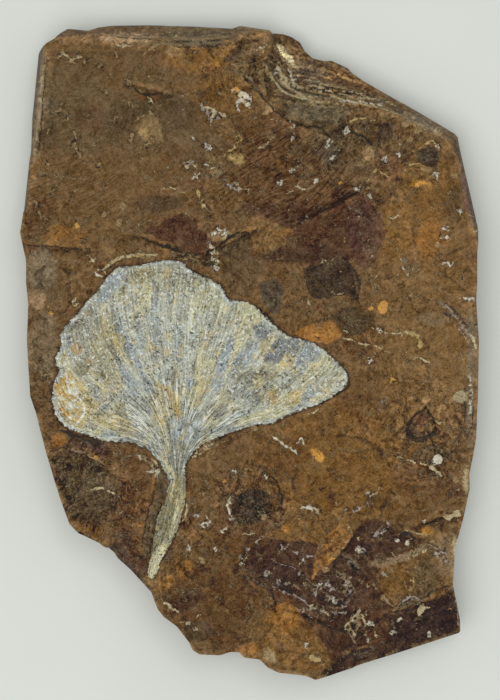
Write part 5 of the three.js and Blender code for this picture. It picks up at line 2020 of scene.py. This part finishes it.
def fork_places(fan):
    """Two places across the veins, in millimetres, and the share of the second. Each one's
    scale doubles twice where only the other shows, as the veins fork on the way out."""
    octave = np.log2(width_at(np.maximum(fan[:, 1], 0)) / STEM_WIDTH)
    lower = np.floor(octave)
    odd = lower % 2
    share = smooth(0.25, 0.75, octave - lower)
    first = fan[:, 0] * STEM_WIDTH * 2 ** (lower + odd)
    second = fan[:, 0] * STEM_WIDTH * 2 ** (lower + 1 - odd)
    return first, second, np.where(odd, 1 - share, share)


def fan_places(points, spots, fan):
    """The fan place of any points, from the nearest of the known ones."""
    known = KDTree(len(spots))
    for i, (x, y) in enumerate(spots):
        known.insert((x, y, 0), i)
    known.balance()
    return fan[[known.find((x, y, 0))[1] for x, y in points]]


def from_pixels(pixels, points):
    """Distance of each point from a smooth line through pixels of the photograph."""
    return reach_to(curve_through(places(pixels), 2 * CURVE_STEP), points)


# The left lobe and the pale foot of the petiole: centre, reach, turn and soft edge
LOBE_PLACE = ((66, 405), (14, 32), 0, 8)
PETIOLE_FOOT = ((158, 562), (8, 19), -20, 4)

# Broken edge of the top layer on the left lobe, the white rim below it, and the petiole's ridge
LOBE_BREAK = [(66.5, 374.5), (69.6, 392), (75.7, 395), (81.8, 401), (85, 411), (82, 417), (76, 425)]
LOBE_RIM = [(54, 408), (56, 415), (62, 424), (71, 430)]
PETIOLE_RIDGE = [(182, 500), (178, 520), (170, 540), (163, 556), (156, 570)]
LOBE_BREAK_RISE = 0.16
LOBE_RIM_RISE = 0.1
PETIOLE_RIDGE_RISE = 0.3
PETIOLE_SINK = 0.25


def leaf_relief(points, fan, margin):
    """Height of the leaf's face over the bedding face."""
    edge = smooth(0, 0.5, margin)
    relief = LEAF_PROUD * (0.55 + 0.45 * edge)
    strength = 0.35 + 0.65 * smooth(-0.5, 0.3, fractal(points, 6, 3, 61))
    relief = relief + VEIN_HEIGHT * vein_pattern(fan) * edge * strength
    relief += 0.06 * fractal(points, 5, 3, 62)
    relief += 0.05 * fractal(points, 0.8, 3, 63) * edge
    relief += LOBE_BREAK_RISE * np.exp(-(from_pixels(LOBE_BREAK, points) / 0.3) ** 2)
    relief += LOBE_RIM_RISE * np.exp(-(from_pixels(LOBE_RIM, points) / 0.35) ** 2)
    stem = from_pixels(PETIOLE_RIDGE, points)
    relief += PETIOLE_RIDGE_RISE * np.exp(-(stem / 0.8) ** 2)
    sunk = smooth(0, 0.4, -fan[:, 1]) * smooth(0.5, 2.5, stem)
    return relief - PETIOLE_SINK * sunk


def leaf_colours(points, fan, margin):
    """Streaks along the veins with painted shade in their grooves, stains, the petiole's olive side
    that is part its own colour and part painted shade, the broken lobe, and the margin with painted
    shade along it.
    """
    colours = np.tile(LEAF_PALE, (len(points), 1))
    first, second, share = fork_places(fan)
    out = fan[:, 1] * FAN_LENGTH * 0.2

    def streaked(size, seed):
        """Noise drawn out along the veins."""
        coarse = fractal(np.column_stack((first, out)), size, 4, seed)
        fine = fractal(np.column_stack((second, out)), size, 4, seed)
        return coarse + (fine - coarse) * share

    lay(colours, LEAF_BLUE, 0.85 * smooth(-0.05, 0.3, streaked(3.4, 70)))
    lay(colours, LEAF_CREAM, 0.9 * smooth(0.05, 0.3, streaked(3.2, 71)))
    lay(colours, LEAF_GREY, 0.75 * smooth(0.15, 0.45, streaked(2.2, 72)))
    stained(colours, points, warped(points, 1.4, 2.5, 73) - points, LEAF_STAINS)
    stem = smooth(-0.02, 0.1, -fan[:, 1])
    across = fan[:, 0] + 0.12 * streaked(1.5, 79)
    # The petiole's olive left half: part its own colour, part painted shade
    lay(colours, LEAF_OLIVE, 0.9 * stem * (1 - smooth(0.5, 0.65, across)))
    lower = smooth(0.1, 0.45, -fan[:, 1])
    lay(colours, LEAF_CREAM, 0.7 * lower * smooth(0.65, 0.75, across))
    lay(colours, LEAF_CREAM * 1.2, 0.9 * stain_weight(points, *PETIOLE_FOOT))
    lay(colours, LEAF_YELLOW, 0.5 * smooth(0.25, 0.6, fractal(points, 2.2, 4, 74)))
    lobe = stain_weight(points, *LOBE_PLACE)
    curls = fractal(points, 1.3, 3, 78)
    lay(colours, LEAF_WHITE, 0.6 * lobe * smooth(0, 0.3, -curls))
    lay(colours, LEAF_ORANGE, 0.9 * lobe * smooth(0.15, 0.3, curls))
    # Painted shade in the grooves between the vein ridges
    veined = smooth(-0.4, 0.4, fractal(points, 7, 3, 76)) * smooth(0, 0.1, fan[:, 1])
    lay(colours, LEAF_SHADE, 0.5 * veined * smooth(0, 1, -vein_pattern(fan)))
    pale_lines = np.minimum(from_pixels(LOBE_BREAK, points), from_pixels(LOBE_RIM, points))
    pale_lines = pale_lines + 0.25 * fractal(points, 0.7, 3, 77)
    lay(colours, LEAF_WHITE, 0.9 * (1 - smooth(0.1, 0.3, pale_lines)))
    rim = smooth(-0.4, 0.2, fractal(points, 4, 3, 80)) * (1 - smooth(0.5, 1.1, margin))
    lay(colours, LEAF_RIM, 0.7 * rim * (1 - stem))
    # Painted shade along the margin
    lay(colours, LEAF_SHADE, 0.5 * (1 - smooth(0, 0.35, margin)))
    return colours


def frayed_ring():
    """The leaf's outline with the small teeth of a torn margin, anticlockwise."""
    ring = ring_round(leaf_rim, LEAF_RIM_STEP)
    frayed = FRAY * smooth(-0.3, 0.5, fractal(ring, 1.1, 4, 75))
    return shrunk(ring, -frayed[:, None])[::-1]


def leaf_spots(ring):
    """Points of the leaf's face inside its outline, with their places in the fan."""
    spots, fan = (np.vstack(pair) for pair in zip(blade_points(), petiole_points()))
    keep = depth_in(ring, spots) > GRID_TO_RIM
    return spots[keep], fan[keep]


def build_leaf(material):
    ring = frayed_ring()
    spots, fan = leaf_spots(ring)
    flat, origin, faces = triangulated_within(ring, spots)
    top_fan = np.vstack((fan_places(ring, spots, fan), fan))[origin]
    margin = reach_to(closed(ring), flat)
    height = bedding.at(flat) + leaf_relief(flat, top_fan, margin)
    top = np.column_stack((flat, height))
    rim = np.argsort(origin)[:len(ring)]

    inner = grid_within(ring, ring.min(0), ring.max(0), UNDER_STEP, 1)
    low_flat, low_origin, low_faces = triangulated_within(ring, inner)
    low = np.column_stack((low_flat, bedding.at(low_flat) + LEAF_PROUD - LEAF_THICKNESS))
    low_rim = np.argsort(low_origin)[:len(ring)] + len(top)
    low_faces = low_faces[:, ::-1] + len(top)

    everything = np.vstack((top, low))
    all_faces = faces.tolist() + low_faces.tolist() + belt(rim, low_rim)
    every_fan = np.vstack((top_fan, fan_places(low_flat, spots, fan)))
    margins = np.concatenate((margin, np.zeros(len(low))))
    first, second, share = fork_places(every_fan)
    out = every_fan[:, 1] * FAN_LENGTH
    tints = leaf_colours(flat, top_fan, margin)
    chart = leaf_chart(everything, faces, low_faces, len(ring))
    return make_object("leaf_fossil", everything, all_faces, chart,
                       {"Fan": np.column_stack((first, out, margins)),
                        "Fork": np.column_stack((second, out, share))},
                       {"Tint": np.vstack((tints, np.tile(LEAF_GREY, (len(low), 1))))}, material)


def leaf_chart(points, top_faces, low_faces, rim_count):
    """The leaf's face fills most of its map, with its underside and rim in the free corners."""
    low = points[:, :2].min(0)
    spread = (points[:, :2] - low) / np.ptp(points[:, 1])
    top = 0.01 + 0.97 * spread[top_faces.ravel()]
    under = (0.62, 0.02) + 0.35 * spread[low_faces.ravel()]
    rim = strip_chart(rim_count, 1, 8, np.array((0.02, 0.02)), np.array((0.24, 0.34)))
    return np.vstack((top, under, rim))


# Floor, light and camera --------------------------------------------------------------------

FLOOR_LEVEL = -0.0002  # in metres, just under the slab
FLOOR_REACH = 1.5
AMBIENT_COLOUR = (0.95, 1, 0.98, 1)
AMBIENT_STRENGTH = 0.5


def build_floor():
    """A floor of four large quads round the middle."""
    steps = 2
    places_on = np.linspace(-FLOOR_REACH, FLOOR_REACH, steps + 1)
    points = [(x, y, FLOOR_LEVEL) for y in places_on for x in places_on]
    quads = []
    for row in range(steps):
        for column in range(steps):
            first = row * (steps + 1) + column
            quads.append((first, first + 1, first + steps + 2, first + steps + 1))
    mesh = bpy.data.meshes.new("studio_floor")
    mesh.from_pydata(points, [], quads)
    mesh.materials.append(floor_look())
    made = bpy.data.objects.new("studio_floor", mesh)
    bpy.context.scene.collection.objects.link(made)


def add_light(name, at, size, watts):
    """A square soft light that looks at the slab."""
    data = bpy.data.lights.new(name, "AREA")
    data.shape = "SQUARE"
    data.size = size
    data.energy = watts
    lamp = bpy.data.objects.new(name, data)
    lamp.location = at
    lamp.rotation_euler = (-Vector(at)).to_track_quat("-Z", "Y").to_euler()
    bpy.context.scene.collection.objects.link(lamp)


def build_studio():
    world = bpy.data.worlds.new("studio")
    world.use_nodes = True
    background = world.node_tree.nodes["Background"]
    background.inputs["Color"].default_value = AMBIENT_COLOUR
    background.inputs["Strength"].default_value = AMBIENT_STRENGTH
    bpy.context.scene.world = world
    add_light("key", at=(-0.17, -0.2, 1.0), size=0.6, watts=4.4)
    add_light("top", at=(0.15, 0.2, 1.1), size=0.5, watts=2.6)
    bpy.context.scene.view_settings.view_transform = "Standard"


def build_camera():
    """Straight down on the slab; the sensor's size is that of the picture's long side."""
    data = bpy.data.cameras.new("camera")
    data.sensor_width = SENSOR
    seen = PHOTO_HEIGHT * PIXEL
    data.lens = SENSOR * (CAMERA_HEIGHT - FACE_LEVEL) / seen
    data.clip_start = 0.01
    made = bpy.data.objects.new("camera", data)
    made.location = (0, 0, CAMERA_HEIGHT * MM)
    bpy.context.scene.collection.objects.link(made)
    bpy.context.scene.camera = made


build_camera()
build_studio()
build_floor()

slab = build_slab(shale_look())
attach(slab, "root")
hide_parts(SLAB)

leaf = build_leaf(leaf_look())
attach(leaf, "root")
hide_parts(LEAF)
